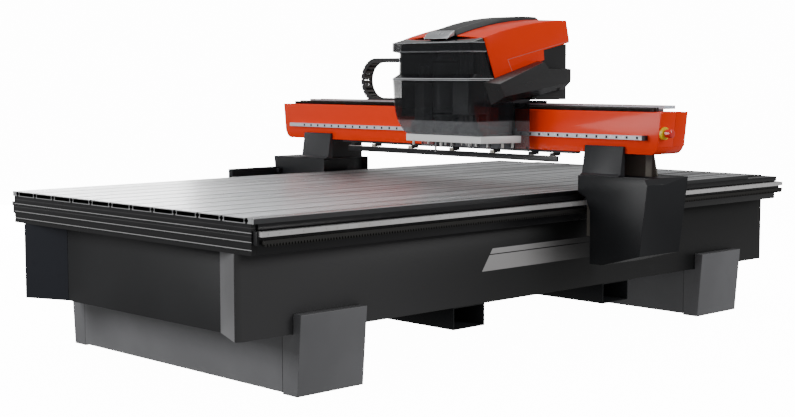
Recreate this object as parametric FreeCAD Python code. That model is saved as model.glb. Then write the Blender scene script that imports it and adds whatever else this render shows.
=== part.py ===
import FreeCAD, Part
import math
import os

from FreeCAD import Vector

# Gantry CNC router with a fixed table: X runs along the gantry beam, Y along the table (the front
# end is at -Y), Z is up, and the floor is z = 0. Millimetres. The gantry and the head are drawn
# where they are parked: GANTRY_FRONT is the beam's front face and HEAD_X the head's middle.

# Bed
TABLE_TOP = 766.0
TABLE_HALF = 911.0
TABLE_EDGE = 924.0
BED_FRONT = -1895.0
BED_REAR = 1902.5
TABLE_REAR = 1603.0
DECK = 743.0
SLOT_NECK = 760.0
SLOT_FLOOR = 750.0
BEAM_LOW = 617.0
PANEL_HALF = 825.0
PANEL_LOW = 262.0
SHEET = 3.0
SLOT_PITCH = 160.0
SLOT_COUNT = 12
SLOT_WIDTH = 14.0
PLINTH_HALF = 755.0
PLINTH_MID = 1430.0
PLINTH_LEN = 370.0
FORK_MID = 550.0
FORK_WIDE = 210.0
FORK_HIGH = 105.0

# Y axis: rail bars, rails and racks on the bed's two sides
BAR_OUT = 938.0
RAIL_DEEP = 23.0
RAIL_WIDE = 20.0
Y_RAIL_Z = 704.0
Y_MODULE = 5.0
Y_TEETH = 20
Y_RACK_PITCH_Z = 660.0
Y_RACK_FRONT = -1870.0
PINION_Y = 265.0

# Gantry
GANTRY_FRONT = 162.0
GANTRY_REAR = 370.0
GANTRY_LOW = 948.0
GANTRY_TOP = 1148.0
GANTRY_HALF = 1365.0
X_RAIL_Z = 1027.0
X_RAIL_LEFT = -1287.0
X_RAIL_RIGHT = 1274.0
RAIL_HOLE_PITCH = 60.0
X_MODULE = 2.5
X_TEETH = 16
X_RACK_PITCH_Y = 184.0
LEG_TOP = 838.0
LEG_FRONT = 95.0
RIGHT_LEG_OUT = 1345.0
RIGHT_LEG_REAR = 415.0
LEFT_LEG_OUT = 1382.0
LEFT_LEG_REAR = 443.0
STOP_Y = 190.0
STOP_Z = 1050.0

# Head
HEAD_X = 222.0
PLATE_FRONT = 114.0
PLATE_BACK = 132.0
HOOD_HALF = 280.0
SPINDLE_X = 142.0
SPINDLE_Y = -11.0
SPINDLE_R = 65.0
DRILL_X = 262.0
DRILL_Y = -15.0
DRILL_PITCH = 32.0
DRILL_COUNT = 3
DRILL_MIDDLE = DRILL_X + (DRILL_COUNT - 1) * DRILL_PITCH / 2
LIFT_Y = 101.5
CHAIN_THICK = 25.0
X_CHAIN_LOW = 1164.0
X_CHAIN_OUTER = 125.0
X_CHAIN_BEND = -695.0
X_CHAIN_Y = (285.0, 355.0)


# ---------------------------------------------------------------- helpers
def box(x, y, z):
    """A block between the low and high values of each axis."""
    size = (x[1] - x[0], y[1] - y[0], z[1] - z[0])
    return Part.makeBox(size[0], size[1], size[2], Vector(x[0], y[0], z[0]))


def rod(radius, start, end):
    """A cylinder between two points."""
    a = Vector(*start)
    b = Vector(*end)
    return Part.makeCylinder(radius, (b - a).Length, a, b - a)


def face_xz(points, y):
    """A flat face of (x, z) points in the plane at y."""
    return Part.Face(Part.makePolygon([Vector(px, y, pz) for px, pz in points + points[:1]]))


def prism_xz(points, y):
    """An outline of (x, z) points drawn out along Y."""
    return face_xz(points, y[0]).extrude(Vector(0, y[1] - y[0], 0))


def prism_yz(points, x):
    """An outline of (y, z) points drawn out along X."""
    wire = Part.makePolygon([Vector(x[0], py, pz) for py, pz in points + points[:1]])
    return Part.Face(wire).extrude(Vector(x[1] - x[0], 0, 0))


def prism_xy(points, z):
    """An outline of (x, y) points drawn out along Z."""
    wire = Part.makePolygon([Vector(px, py, z[0]) for px, py in points + points[:1]])
    return Part.Face(wire).extrude(Vector(0, 0, z[1] - z[0]))


def fuse(shapes):
    """One solid made of several that touch or overlap."""
    whole = shapes[0]
    if len(shapes) > 1:
        whole = shapes[0].fuse(shapes[1:])
    return whole.removeSplitter()


def flipped(shape, x=0.0):
    """The shape mirrored left to right about the plane at x."""
    return shape.mirror(Vector(x, 0, 0), Vector(1, 0, 0))


def save(name, shapes):
    """Writes one node: a single solid, or a group of separate solids."""
    solids = []
    for shape in shapes:
        solids.extend(shape.Solids)
    for solid in solids:
        if not solid.isValid():
            print("invalid solid in", name)
    whole = solids[0] if len(solids) == 1 else Part.makeCompound(solids)
    whole.exportStep("parts/" + name + ".step")


def both(shapes, x=0.0):
    """Right-hand pieces together with their mirror images."""
    return shapes + [flipped(shape, x) for shape in shapes]


# ---------------------------------------------------------------- bed
def plinth(middle):
    """A transverse box that carries the bed, 8 mm clear of the floor on its levelling feet."""
    y = (middle - PLINTH_LEN / 2, middle + PLINTH_LEN / 2)
    return box((-PLINTH_HALF, PLINTH_HALF), y, (8, PANEL_LOW))


def foot_cover(middle):
    """The flared block at a plinth's right-hand end; it stands out past the side panel."""
    outline = [(PLINTH_HALF, 0), (850, 0), (877, 346), (PANEL_HALF + 1, 346),
               (PANEL_HALF + 1, 261), (PLINTH_HALF, 261)]
    return prism_xz(outline, (middle - PLINTH_LEN / 2, middle + PLINTH_LEN / 2))


def levelling_feet():
    """Screw feet under the plinths: a pad on the floor and a stud."""
    feet = []
    for y in (-PLINTH_MID - 110, -PLINTH_MID + 110, PLINTH_MID - 110, PLINTH_MID + 110):
        for x in (-680, 680):
            feet.append(rod(40, (x, y, 0), (x, y, 8)))
    return feet


def fork_tube(middle):
    """A rectangular tube across the bed for a fork-lift's fork."""
    wall = 5.0
    y = (middle - FORK_WIDE / 2, middle + FORK_WIDE / 2)
    z = (PANEL_LOW - FORK_HIGH, PANEL_LOW)
    outer = box((-820, 820), y, z)
    inner = box((-830, 830), (y[0] + wall, y[1] - wall), (z[0] + wall, z[1] - wall))
    return outer.cut(inner)


def side_panel():
    """Right-hand side sheet with a folded lip at the bottom and a bent front corner."""
    front = BED_FRONT + 19
    outer = [(PANEL_HALF, BED_REAR), (PANEL_HALF, front), (812, -1902.5), (809.3, -1901),
             (PANEL_HALF - SHEET, front + 0.7), (PANEL_HALF - SHEET, BED_REAR)]
    sheet = prism_xy(outer, (PANEL_LOW, BEAM_LOW))
    lip = box((795, PANEL_HALF - SHEET), (front + 5, BED_REAR), (PANEL_LOW, PANEL_LOW + SHEET))
    return fuse([sheet, lip])


def corner_strip():
    """The slanted bright sheet between the side panel and the recessed front panel."""
    outline = [(807, -1902), (589, -1805.5), (589, -1802), (807, -1898.5)]
    return prism_xy(outline, (PANEL_LOW, BEAM_LOW))


def longeron():
    """A deep rectangular tube along the bed."""
    outer = box((540, 640), (-1790, 1890), (PANEL_LOW, BEAM_LOW))
    return outer.cut(box((550, 630), (-1800, 1900), (PANEL_LOW + 10, BEAM_LOW - 10)))


def frame_ties():
    """Cross tubes between the two longerons."""
    ties = []
    for y in (-1700, -850, 0, 850, 1700):
        ties.append(box((-540, 540), (y - 50, y + 50), (400, 520)))
    return ties


def deck_beams():
    """Cross beams that carry the table planks, and the plate behind the planks."""
    beams = []
    for i in range(9):
        y = -1790 + i * 440
        beams.append(box((-838, 838), (y - 40, y + 40), (BEAM_LOW, DECK)))
    beams.append(box((-838, 838), (TABLE_REAR + 3, BED_REAR - 26), (DECK, DECK + 6)))
    return beams


def side_beam():
    """Right-hand black edge beam under the table's edge strip."""
    outline = [(840, BEAM_LOW), (TABLE_HALF, BEAM_LOW), (TABLE_HALF, 717), (TABLE_EDGE - 2, 717),
               (TABLE_EDGE - 2, DECK), (840, DECK)]
    return prism_xz(outline, (BED_FRONT + 26, BED_REAR))


def end_profile(y_out, way, half):
    """Black profile across an end of the bed with three lips; way is +1 or -1 into the bed."""
    outline = [(0, BEAM_LOW)]
    for z in (639, 671, 707):
        outline += [(0, z - 6), (4, z - 6), (4, z - 2), (0, z - 2), (0, z + 2)]
        outline += [(4, z + 2), (4, z + 5), (0, z + 5)]
    outline += [(0, DECK), (25.5, DECK), (25.5, BEAM_LOW)]
    points = [(y_out + way * d, z) for d, z in outline]
    return prism_yz(points, (-half, half))


def plank_outline(left, right):
    """Section of a table plank: undercut sides that make half a T-slot each."""
    return [(left, TABLE_TOP), (left, SLOT_NECK), (left + 6, SLOT_NECK), (left + 6, SLOT_FLOOR),
            (left, SLOT_FLOOR), (left, DECK), (right, DECK), (right, SLOT_FLOOR), (right - 6, SLOT_FLOOR),
            (right - 6, SLOT_NECK), (right, SLOT_NECK), (right, TABLE_TOP)]


def table_planks():
    """Hollow aluminium planks; the T-slots are the gaps between them."""
    planks = []
    for i in range(SLOT_COUNT - 1):
        middle = -(SLOT_COUNT - 2) * SLOT_PITCH / 2 + i * SLOT_PITCH
        half = (SLOT_PITCH - SLOT_WIDTH) / 2
        plank = prism_xz(plank_outline(middle - half, middle + half), (BED_FRONT, TABLE_REAR))
        planks.append(plank.cut(box((middle - 64, middle + 64), (BED_FRONT - 5, TABLE_REAR + 5),
                                    (DECK + 3, TABLE_TOP - 3.5))))
    return planks


def edge_strip():
    """The outermost strip of the table top, on the right."""
    slot_edge = SLOT_PITCH * (SLOT_COUNT - 1) / 2 + SLOT_WIDTH / 2
    outline = [(slot_edge, DECK), (TABLE_EDGE, DECK), (TABLE_EDGE, TABLE_TOP), (slot_edge, TABLE_TOP),
               (slot_edge, SLOT_NECK), (slot_edge + 5, SLOT_NECK), (slot_edge + 5, SLOT_FLOOR),
               (slot_edge, SLOT_FLOOR)]
    return prism_xz(outline, (BED_FRONT, TABLE_REAR))


def rack_outline(length, module, depth):
    """Straight-sided rack teeth: points along the rack and up from its back."""
    pitch = math.pi * module
    slope = math.tan(math.radians(20))
    tip_half = pitch / 4 - module * slope - 0.35
    root_half = tip_half + 2.2 * module * slope
    points = [(0, 0)]
    count = int(length // pitch)
    start = (length - (count - 1) * pitch) / 2
    for i in range(count):
        middle = start + i * pitch
        points += [(middle - root_half, depth - 2.2 * module), (middle - tip_half, depth),
                   (middle + tip_half, depth), (middle + root_half, depth - 2.2 * module)]
    points.insert(1, (0, depth - 2.2 * module))
    points += [(length, depth - 2.2 * module), (length, 0)]
    return points, start


def pinion_outline(module, teeth, turn):
    """Spur gear outline with involute flanks; one tooth's middle is at the angle turn."""
    pitch_r = module * teeth / 2
    base_r = pitch_r * math.cos(math.radians(20))
    root_r = pitch_r - 1.2 * module
    tip_r = pitch_r + 0.95 * module
    half = math.pi / (2 * teeth) - 0.3 / pitch_r
    inv20 = math.tan(math.radians(20)) - math.radians(20)
    points = []
    for i in range(teeth):
        middle = turn + i * 2 * math.pi / teeth
        radii = [max(root_r, base_r) + (tip_r - max(root_r, base_r)) * k / 3 for k in range(4)]
        side = []
        for r in radii:
            angle = math.acos(min(1.0, base_r / r))
            side.append((r, half + inv20 - (math.tan(angle) - angle)))
        side.insert(0, (root_r, side[0][1]))
        for r, a in side:
            points.append((r * math.cos(middle - a), r * math.sin(middle - a)))
        for r, a in reversed(side):
            points.append((r * math.cos(middle + a), r * math.sin(middle + a)))
    return points


def y_rack(front):
    """Right-hand rack: its teeth point down."""
    tip_z = Y_RACK_PITCH_Z - Y_MODULE
    points, start = rack_outline(BED_REAR - front, Y_MODULE, 25)
    outline = [(front + along, tip_z + 25 - up) for along, up in points]
    return prism_yz(outline, (BAR_OUT, BAR_OUT + 22)), front + start


def y_rail():
    """Right-hand linear rail on the bar, screwed from outside."""
    z = (Y_RAIL_Z - RAIL_WIDE / 2, Y_RAIL_Z + RAIL_WIDE / 2)
    rail = box((BAR_OUT, BAR_OUT + RAIL_DEEP), (-1880, BED_REAR), z)
    holes = []
    for i in range(63):
        y = -1850 + i * RAIL_HOLE_PITCH
        holes.append(rod(4.5, (BAR_OUT + RAIL_DEEP - 8, y, Y_RAIL_Z), (BAR_OUT + RAIL_DEEP + 1, y, Y_RAIL_Z)))
    return rail.cut(holes)


def bed():
    save("plinths", [plinth(-PLINTH_MID), plinth(PLINTH_MID)] + levelling_feet())
    save("foot_covers", both([foot_cover(-PLINTH_MID), foot_cover(PLINTH_MID)]))
    save("fork_tubes", [fork_tube(-FORK_MID), fork_tube(FORK_MID)])
    save("side_panels", both([side_panel()]))
    save("corner_strips", both([corner_strip()]))
    front = box((-588, 588), (-1805, -1802), (PANEL_LOW, BEAM_LOW))
    inside = (-PANEL_HALF + SHEET, PANEL_HALF - SHEET)
    rear = box(inside, (BED_REAR - SHEET, BED_REAR), (PANEL_LOW + SHEET, BEAM_LOW))
    save("end_panels", [front, rear])
    save("base_frame", both([longeron()]) + frame_ties())
    save("deck_beams", deck_beams())
    save("side_beams", both([side_beam()]))
    save("end_profiles", [end_profile(BED_FRONT, 1, TABLE_HALF), end_profile(BED_REAR, -1, 838)])
    save("table_planks", table_planks() + both([edge_strip()]))
    save("y_rail_bars", both([box((TABLE_HALF, BAR_OUT), (-1888, BED_REAR), (659, 715))]))
    save("y_rails", both([y_rail()]))
    save("y_racks", both([y_rack(Y_RACK_FRONT)[0]]))


# ---------------------------------------------------------------- gantry
def leg_outline(out):
    """Front view of a leg cover as on the right, with the notch that clears the bed's rail."""
    return [(931, 755), (931, LEG_TOP), (out, LEG_TOP), (out - 43, 473), (1085, 413),
            (1009, 411), (1006, 670), (978, 734)]


def leg_bevel(inset):
    """What the bevel takes off the right leg's top outer edge; it runs out to nothing at the rear."""
    wires = []
    for y, wide, high in ((LEG_FRONT - 5, 24, 44), (245, 24, 44), (412, 3, 4)):
        corner = (RIGHT_LEG_OUT + 5 - inset, LEG_TOP + 5 - inset)
        points = [Vector(corner[0], y, corner[1]), Vector(corner[0] - wide - 5, y, corner[1]),
                  Vector(corner[0], y, corner[1] - high - 5)]
        wires.append(Part.makePolygon(points + points[:1]))
    return Part.makeLoft(wires, True, True)


def leg_shell(out, rear):
    """A leg cover's wrap-around sheet: top, outer side and bottom, open towards the bed."""
    y = (LEG_FRONT + SHEET, rear - SHEET)
    hollow = [(900, 758), (900, LEG_TOP - SHEET), (out - 3.4, LEG_TOP - SHEET), (out - 45.4, 475.4),
              (1084.5, 416), (1000, 414), (1000, 670), (960, 737)]
    shell = prism_xz(leg_outline(out), y)
    shell = shell.cut(prism_xz(hollow, (y[0] - 1, y[1] + 1)))
    shell = shell.cut(box((925, 1008), (0, 500), (405, 757.9)))
    shell = shell.cut(box((964, 992), (138, rear - 6), (LEG_TOP - 10, LEG_TOP + 5)))
    return shell.cut(box((984, 1233), (269, 340), (LEG_TOP - 10, LEG_TOP + 5)))


def leg_fascia():
    """Sloped plate with side returns and a foot flange that covers the joint of leg and beam."""
    outer = [(110, LEG_TOP + 0.5), (110, LEG_TOP + 4), (126, 850), (147, 983), (160, 983),
             (160, LEG_TOP + 0.5)]
    inner = [(130, LEG_TOP - 1), (130, 850), (150.5, 979), (165, 979), (165, LEG_TOP - 1)]
    return prism_yz(outer, (930, 1162)).cut(prism_yz(inner, (934, 1158)))


def leg_cover(out, rear):
    """A leg's covers as on the right: the shell, a front and a rear sheet and the fascia."""
    front = prism_xz(leg_outline(out), (LEG_FRONT, LEG_FRONT + SHEET))
    back = prism_xz(leg_outline(out), (rear - SHEET, rear))
    return [leg_shell(out, rear), front, back, leg_fascia()]


def leg_bevel_sheet():
    """The sloped sheet that closes the right leg's bevelled edge."""
    y = (LEG_FRONT + SHEET, RIGHT_LEG_REAR - SHEET)
    inside = prism_xz(leg_outline(RIGHT_LEG_OUT), y)
    return inside.common(leg_bevel(SHEET).cut(leg_bevel(0)))


def leg_weldment(rear):
    """Load-bearing leg: a post and rear flange under the beam on a plate that carries the rail blocks."""
    post = box((988, 1200), (273, 326), (690, GANTRY_LOW))
    post = post.cut(box((1000, 1190), (283, 330), (680, GANTRY_LOW - 12)))
    flange = prism_xz([(988, 690), (1229, 690), (1229, LEG_TOP), (1204, GANTRY_LOW), (988, GANTRY_LOW)],
                      (326, 336))
    plate = box((968, 988), (120, rear - 15), (545, 830))
    neck = box((968, 988), (165, rear - 15), (830, GANTRY_LOW))
    centre_z = Y_RACK_PITCH_Z - Y_MODULE * Y_TEETH / 2
    plate = plate.cut(rod(30, (960, PINION_Y, centre_z), (1000, PINION_Y, centre_z)))
    return fuse([post, flange, plate, neck])


def y_block(y):
    """A rail carriage on the bed's right-hand rail."""
    z = (Y_RAIL_Z - 22, Y_RAIL_Z + 22)
    block = box((BAR_OUT + 4.5, 968), (y - 38, y + 38), z)
    groove = box((BAR_OUT, BAR_OUT + RAIL_DEEP + 0.4), (y - 50, y + 50),
                 (Y_RAIL_Z - RAIL_WIDE / 2 - 0.4, Y_RAIL_Z + RAIL_WIDE / 2 + 0.4))
    return block.cut(groove)


def y_drive():
    """Gearbox and motor that turn the right-hand pinion."""
    z = Y_RACK_PITCH_Z - Y_MODULE * Y_TEETH / 2
    gearbox = rod(48, (988, PINION_Y, z), (1085, PINION_Y, z))
    gearbox = gearbox.cut(rod(10.5, (980, PINION_Y, z), (1030, PINION_Y, z)))
    motor = box((1085, 1255), (PINION_Y - 52, PINION_Y + 52), (z - 52, z + 52))
    return fuse([gearbox, motor])


def y_pinion(rack_start):
    """Right-hand pinion in mesh with the rack, on its shaft."""
    z = Y_RACK_PITCH_Z - Y_MODULE * Y_TEETH / 2
    pitch = math.pi * Y_MODULE
    offset = (PINION_Y - rack_start) / pitch
    phase = offset - math.floor(offset)
    turn = math.pi / 2 + (phase - 0.5) * pitch / (Y_MODULE * Y_TEETH / 2)
    outline = pinion_outline(Y_MODULE, Y_TEETH, turn)
    points = [(PINION_Y + a, z + b) for a, b in outline]
    gear = prism_yz(points, (BAR_OUT + 2, BAR_OUT + 20))
    shaft = rod(10, (BAR_OUT + 2, PINION_Y, z), (1028, PINION_Y, z))
    hub = rod(24, (BAR_OUT + 19, PINION_Y, z), (966, PINION_Y, z))
    return fuse([gear, hub, shaft])


def beam_outline(half):
    """Front outline of the gantry beam: sloped ends and rounded lower corners."""
    low = half - 17.5
    top_edge = Part.LineSegment(Vector(-half, 0, GANTRY_TOP), Vector(half, 0, GANTRY_TOP)).toShape()
    right = Part.LineSegment(Vector(half, 0, GANTRY_TOP), Vector(low, 0, 985)).toShape()
    arc_r = Part.Arc(Vector(low, 0, 985), Vector(low - 17, 0, 958), Vector(1290, 0, GANTRY_LOW)).toShape()
    bottom = Part.LineSegment(Vector(1290, 0, GANTRY_LOW), Vector(-1290, 0, GANTRY_LOW)).toShape()
    arc_l = Part.Arc(Vector(-1290, 0, GANTRY_LOW), Vector(17 - low, 0, 958), Vector(-low, 0, 985)).toShape()
    left = Part.LineSegment(Vector(-low, 0, 985), Vector(-half, 0, GANTRY_TOP)).toShape()
    return Part.Wire([top_edge, right, arc_r, bottom, arc_l, left])


def gantry_beam():
    """Box-section beam, open at the ends under the end plates."""
    solid = Part.Face(beam_outline(GANTRY_HALF)).extrude(Vector(0, GANTRY_REAR - GANTRY_FRONT, 0))
    solid.translate(Vector(0, GANTRY_FRONT, 0))
    inside_y = (GANTRY_FRONT + 10, GANTRY_REAR - 10)
    solid = solid.cut(box((-1280, 1280), inside_y, (GANTRY_LOW + 12, GANTRY_TOP - 10)))
    return solid.cut(box((-1400, 1400), inside_y, (992, GANTRY_TOP - 10)))


def beam_end_plate():
    """Right-hand end plate of the beam, with a shallow fold down its middle."""
    low = GANTRY_HALF - 17.5
    outline = [(GANTRY_HALF, GANTRY_TOP), (GANTRY_HALF + 3, GANTRY_TOP), (low + 3, 985), (low, 985)]
    plate = prism_xz(outline, (GANTRY_FRONT, GANTRY_REAR))
    groove = prism_xy([(GANTRY_HALF + 20, 276), (GANTRY_HALF + 20, 279), (1349.5, 277.5)], (980, 1150))
    return plate.cut(groove.common(prism_xz([(GANTRY_HALF + 1.6, GANTRY_TOP + 1), (1380, 1149),
                                             (1380, 984), (low + 1.6, 984)], (270, 285))))


def stop_housing():
    """Yellow base of the emergency stop; there is one, on the right-hand end plate."""
    disc = rod(30, (1345, STOP_Y, STOP_Z), (1371, STOP_Y, STOP_Z))
    beside = prism_xz([(1300, GANTRY_TOP + 2), (GANTRY_HALF + 3.2, GANTRY_TOP + 2), (GANTRY_HALF - 14.5, 985),
                       (1300, 985)], (100, 300))
    return disc.cut(beside).cut(beam_end_plate()).cut(rod(10.4, (1340, STOP_Y, STOP_Z), (1380, STOP_Y, STOP_Z)))


def stop_button():
    """Red mushroom button with its stem."""
    stem = rod(10, (1366, STOP_Y, STOP_Z), (1380, STOP_Y, STOP_Z))
    cap = rod(20, (1379, STOP_Y, STOP_Z), (1413, STOP_Y, STOP_Z))
    rim = [edge for edge in cap.Edges if edge.BoundBox.XMin > 1412 and edge.BoundBox.YLength > 30]
    return fuse([stem, cap.makeFillet(9, rim)])


def x_rail_front():
    """Linear rail on the beam's front face, with a row of counterbored holes."""
    z = (X_RAIL_Z - RAIL_WIDE / 2, X_RAIL_Z + RAIL_WIDE / 2)
    rail = box((X_RAIL_LEFT, X_RAIL_RIGHT), (GANTRY_FRONT - RAIL_DEEP, GANTRY_FRONT), z)
    holes = []
    for i in range(41):
        x = -1154 + i * RAIL_HOLE_PITCH
        holes.append(rod(4.8, (x, GANTRY_FRONT - RAIL_DEEP - 1, X_RAIL_Z), (x, GANTRY_FRONT - 14, X_RAIL_Z)))
    return rail.cut(holes)


def x_rack():
    """Rack on top of the beam with its teeth towards the front."""
    points, start = rack_outline(2590, X_MODULE, 20)
    tip_y = X_RACK_PITCH_Y - X_MODULE
    outline = [(-1295 + along, tip_y + 20 - up) for along, up in points]
    return prism_xy(outline, (GANTRY_TOP, GANTRY_TOP + 16)), -1295 + start


def chain_tray():
    """Sheet tray on top of the beam for the head's energy chain."""
    outer = box((-1260, 1300), (275, 365), (1160, 1177))
    inner = box((-1270, 1310), (278, 362), (1163, 1180))
    return outer.cut(inner)


def gantry():
    save("gantry_beam", [gantry_beam()])
    end_plate = beam_end_plate()
    save("beam_end_plates", both([end_plate]))
    save("stop_housing", [stop_housing()])
    save("stop_button", [stop_button()])
    top_rail = box((-1290, 1290), (226, 246), (GANTRY_TOP, GANTRY_TOP + RAIL_DEEP - 3))
    save("x_rails", [x_rail_front(), top_rail])
    z_stop = (X_RAIL_Z - 12, X_RAIL_Z + 12)
    end_stop = box((X_RAIL_RIGHT, 1290), (GANTRY_FRONT - 25, GANTRY_FRONT), z_stop)
    save("x_rack", [x_rack()[0]])
    feet = []
    for i in range(7):
        feet.append(box((-1200 + i * 400, -1160 + i * 400), (285, 355), (GANTRY_TOP, 1160)))
    save("chain_tray", [fuse([chain_tray()] + feet)])
    save("cross_bar", [box((-765, 765), (138, 150), (892, 922))])
    hangers = [box((-850, 850), (168, 215), (936, GANTRY_LOW)), end_stop]
    for x in (-730, -560, -270, 40, 330, 590, 730):
        hangers.append(box((x - 14, x + 14), (138, 190), (922, 936)))
    save("bar_hangers", hangers)
    save("legs", [leg_weldment(RIGHT_LEG_REAR), flipped(leg_weldment(LEFT_LEG_REAR))])
    right_cover = [part.cut(leg_bevel(0)) for part in leg_cover(RIGHT_LEG_OUT, RIGHT_LEG_REAR)]
    right_cover[0] = right_cover[0].fuse(leg_bevel_sheet())
    left_cover = [flipped(part) for part in leg_cover(LEFT_LEG_OUT, LEFT_LEG_REAR)]
    save("leg_covers", right_cover + left_cover)
    save("y_rail_blocks", both([y_block(165), y_block(352)]))
    save("y_drives", both([y_drive()]))
    pinion = y_pinion(y_rack(Y_RACK_FRONT)[1])
    save("right_y_pinion", [pinion])
    save("left_y_pinion", [flipped(pinion)])
    arm = box((-1371, -1335), (-256, LEG_FRONT), (722, 775)).cut(box((-1367, -1339), (-252, 60), (726, 771)))
    save("guard_arm", [arm, box((-1334.5, -1306), (66, LEG_FRONT), (742, 768))])


# ---------------------------------------------------------------- head covers
def u_wire(front, half, back, radius, z):
    """A closed outline, straight at the back and with rounded corners at the front."""
    x0 = HEAD_X - half
    x1 = HEAD_X + half
    k = radius * (1 - math.sqrt(0.5))
    left = Part.LineSegment(Vector(x0, back, z), Vector(x0, front + radius, z)).toShape()
    arc_l = Part.Arc(Vector(x0, front + radius, z), Vector(x0 + k, front + k, z),
                     Vector(x0 + radius, front, z)).toShape()
    face = Part.LineSegment(Vector(x0 + radius, front, z), Vector(x1 - radius, front, z)).toShape()
    arc_r = Part.Arc(Vector(x1 - radius, front, z), Vector(x1 - k, front + k, z),
                     Vector(x1, front + radius, z)).toShape()
    right = Part.LineSegment(Vector(x1, front + radius, z), Vector(x1, back, z)).toShape()
    rear = Part.LineSegment(Vector(x1, back, z), Vector(x0, back, z)).toShape()
    return Part.Wire([left, arc_l, face, arc_r, right, rear])


def u_shell(sections, back, radius, wall, ruled):
    """A wall lofted through (z, front, half) sections, open at the back, top and bottom."""
    outer = [u_wire(front, half, back, radius, z) for z, front, half in sections]
    inner = [u_wire(front + wall, half - wall, back + 40, radius - wall, z) for z, front, half in sections]
    return Part.makeLoft(outer, True, ruled).cut(Part.makeLoft(inner, True, ruled))


def behind_side_covers():
    """The space at and behind the side covers' sloped front edge."""
    return prism_yz([(-29.5, 1288), (-120, 1508), (-95, 1560), (400, 1560), (400, 1288)],
                    (HEAD_X - 400, HEAD_X + 400))


def side_cover_outline():
    return [(-115, 1503), (-32, 1303), (98, 1338), (345, 1396), (340, 1447), (545, 1488), (544, 1504),
            (518, 1602)]


def side_cover():
    """Right-hand orange side of the hood; its top edge is one long arc."""
    x = HEAD_X + HOOD_HALF - 4
    points = side_cover_outline()
    edges = []
    for a, b in zip(points[:-1], points[1:]):
        edges.append(Part.LineSegment(Vector(x, a[0], a[1]), Vector(x, b[0], b[1])).toShape())
    first = Vector(x, points[0][0], points[0][1])
    last = Vector(x, points[-1][0], points[-1][1])
    edges.append(Part.Arc(last, Vector(x, 156, 1565), first).toShape())
    return Part.Face(Part.Wire(edges)).extrude(Vector(4, 0, 0))


def roof_wire(x, rise, wall):
    """Section of the roof skin: a long arc from the front edge, then the drop at the rear."""
    rear = rise * 0.62
    outer = [Vector(x, -113, 1503 + rise), Vector(x, 156, 1565 + rise), Vector(x, 516, 1602 + rear),
             Vector(x, 543, 1504 + rise * 0.3)]
    inner = [Vector(x, 538, 1504 + rise * 0.3), Vector(x, 512, 1602 + rear - wall),
             Vector(x, 156, 1565 + rise - wall), Vector(x, -113, 1503 + rise - wall)]
    edges = [Part.Arc(outer[0], outer[1], outer[2]).toShape(),
             Part.LineSegment(outer[2], outer[3]).toShape(),
             Part.LineSegment(outer[3], inner[0]).toShape(),
             Part.LineSegment(inner[0], inner[1]).toShape(),
             Part.Arc(inner[1], inner[2], inner[3]).toShape(),
             Part.LineSegment(inner[3], outer[0]).toShape()]
    return Part.Wire(edges)


def roof_half():
    """Right-hand orange roof skin, rising from the side cover to the centre strip."""
    wires = [roof_wire(HEAD_X + 275.5, 0, 4), roof_wire(HEAD_X + 95, 13, 4)]
    return Part.makeLoft(wires, True, True)


def roof_strip():
    """Raised black strip along the middle of the roof."""
    wires = [roof_wire(HEAD_X - 94.5, 15, 12), roof_wire(HEAD_X - 72, 38, 12),
             roof_wire(HEAD_X + 72, 38, 12), roof_wire(HEAD_X + 94.5, 15, 12)]
    return Part.makeLoft(wires, True, True)


def pod_wires(x_in, x_out, shrink):
    """Inner and outer outlines of the right-hand black pod, pulled in by shrink towards its middle."""
    inner = [(-113, 1284), (292, 1391), (335, 1355), (512, 1356), (513, 1294), (498, 1242), (445, 1232),
             (-60, 1170)]
    outer = [(-42, 1276), (292, 1386), (336, 1350), (508, 1350), (509, 1298), (505, 1283), (440, 1274),
             (-4, 1212)]
    wires = []
    for x, outline in ((x_in, inner), (x_out, outer)):
        middle_y = sum(p[0] for p in outline) / len(outline)
        middle_z = sum(p[1] for p in outline) / len(outline)
        points = []
        for y, z in outline:
            away = Vector(0, y - middle_y, z - middle_z)
            away.multiply(1 - shrink / away.Length)
            points.append(Vector(x, middle_y + away.y, middle_z + away.z))
        wires.append(Part.makePolygon(points + points[:1]))
    return wires


def side_pod():
    """Right-hand black pod: a hollow moulding, open towards the head."""
    x_in = HEAD_X + HOOD_HALF
    solid = Part.makeLoft(pod_wires(x_in, x_in + 43, 0), True, True)
    hollow = Part.makeLoft(pod_wires(x_in - 2, x_in + 39, 7), True, True)
    return solid.cut(hollow)


def base_ring():
    """White ring round the foot of the shroud, open at the back."""
    outer = [(-330, 113.5), (-304, -8), (-264, -114), (264, -114), (304, -8), (330, 113.5)]
    inner = [(286, 113.5), (270, -4), (246, -80), (-246, -80), (-270, -4), (-286, 113.5)]
    return prism_xy([(HEAD_X + x, y) for x, y in outer + inner], (981, 1016))


def ring_bumpers():
    """Short pins under the base ring."""
    pins = []
    for x, y in ((-32, -92), (287, 20), (296, 85), (-272, -50), (-296, 85)):
        pins.append(rod(7, (HEAD_X + x, y, 955), (HEAD_X + x, y, 981)))
    return pins


def rear_housing():
    """Black box behind the head, over the beam, open at the front."""
    x = (HEAD_X - 258, HEAD_X + 258)
    shell = box(x, (277, 548), (1192, 1480))
    shell = shell.cut(box((x[0] + 4, x[1] - 4), (270, 544), (1196, 1476)))
    return shell.cut(box((x[0] - 5, x[0] + 10), (270, 362), (1382, 1421)))


def wing_covers():
    """Flat smoked covers at both sides of the saddle plate, over the rail carriages."""
    wing = box((HEAD_X + 270, HEAD_X + 380), (PLATE_FRONT, PLATE_FRONT + 4), (945, 1180))
    return both([wing], HEAD_X)


def upper_shroud():
    """Smoked upper moulding: a ledge, a set-back band and a wider band under the visor."""
    sections = [(1293.2, -208, 280), (1302, -208, 280), (1325, -170, 270), (1430, -167, 269),
                (1438, -208, 280), (1482, -208, 280)]
    return u_shell(sections, 0, 18, 5, True).cut(behind_side_covers())


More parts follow.
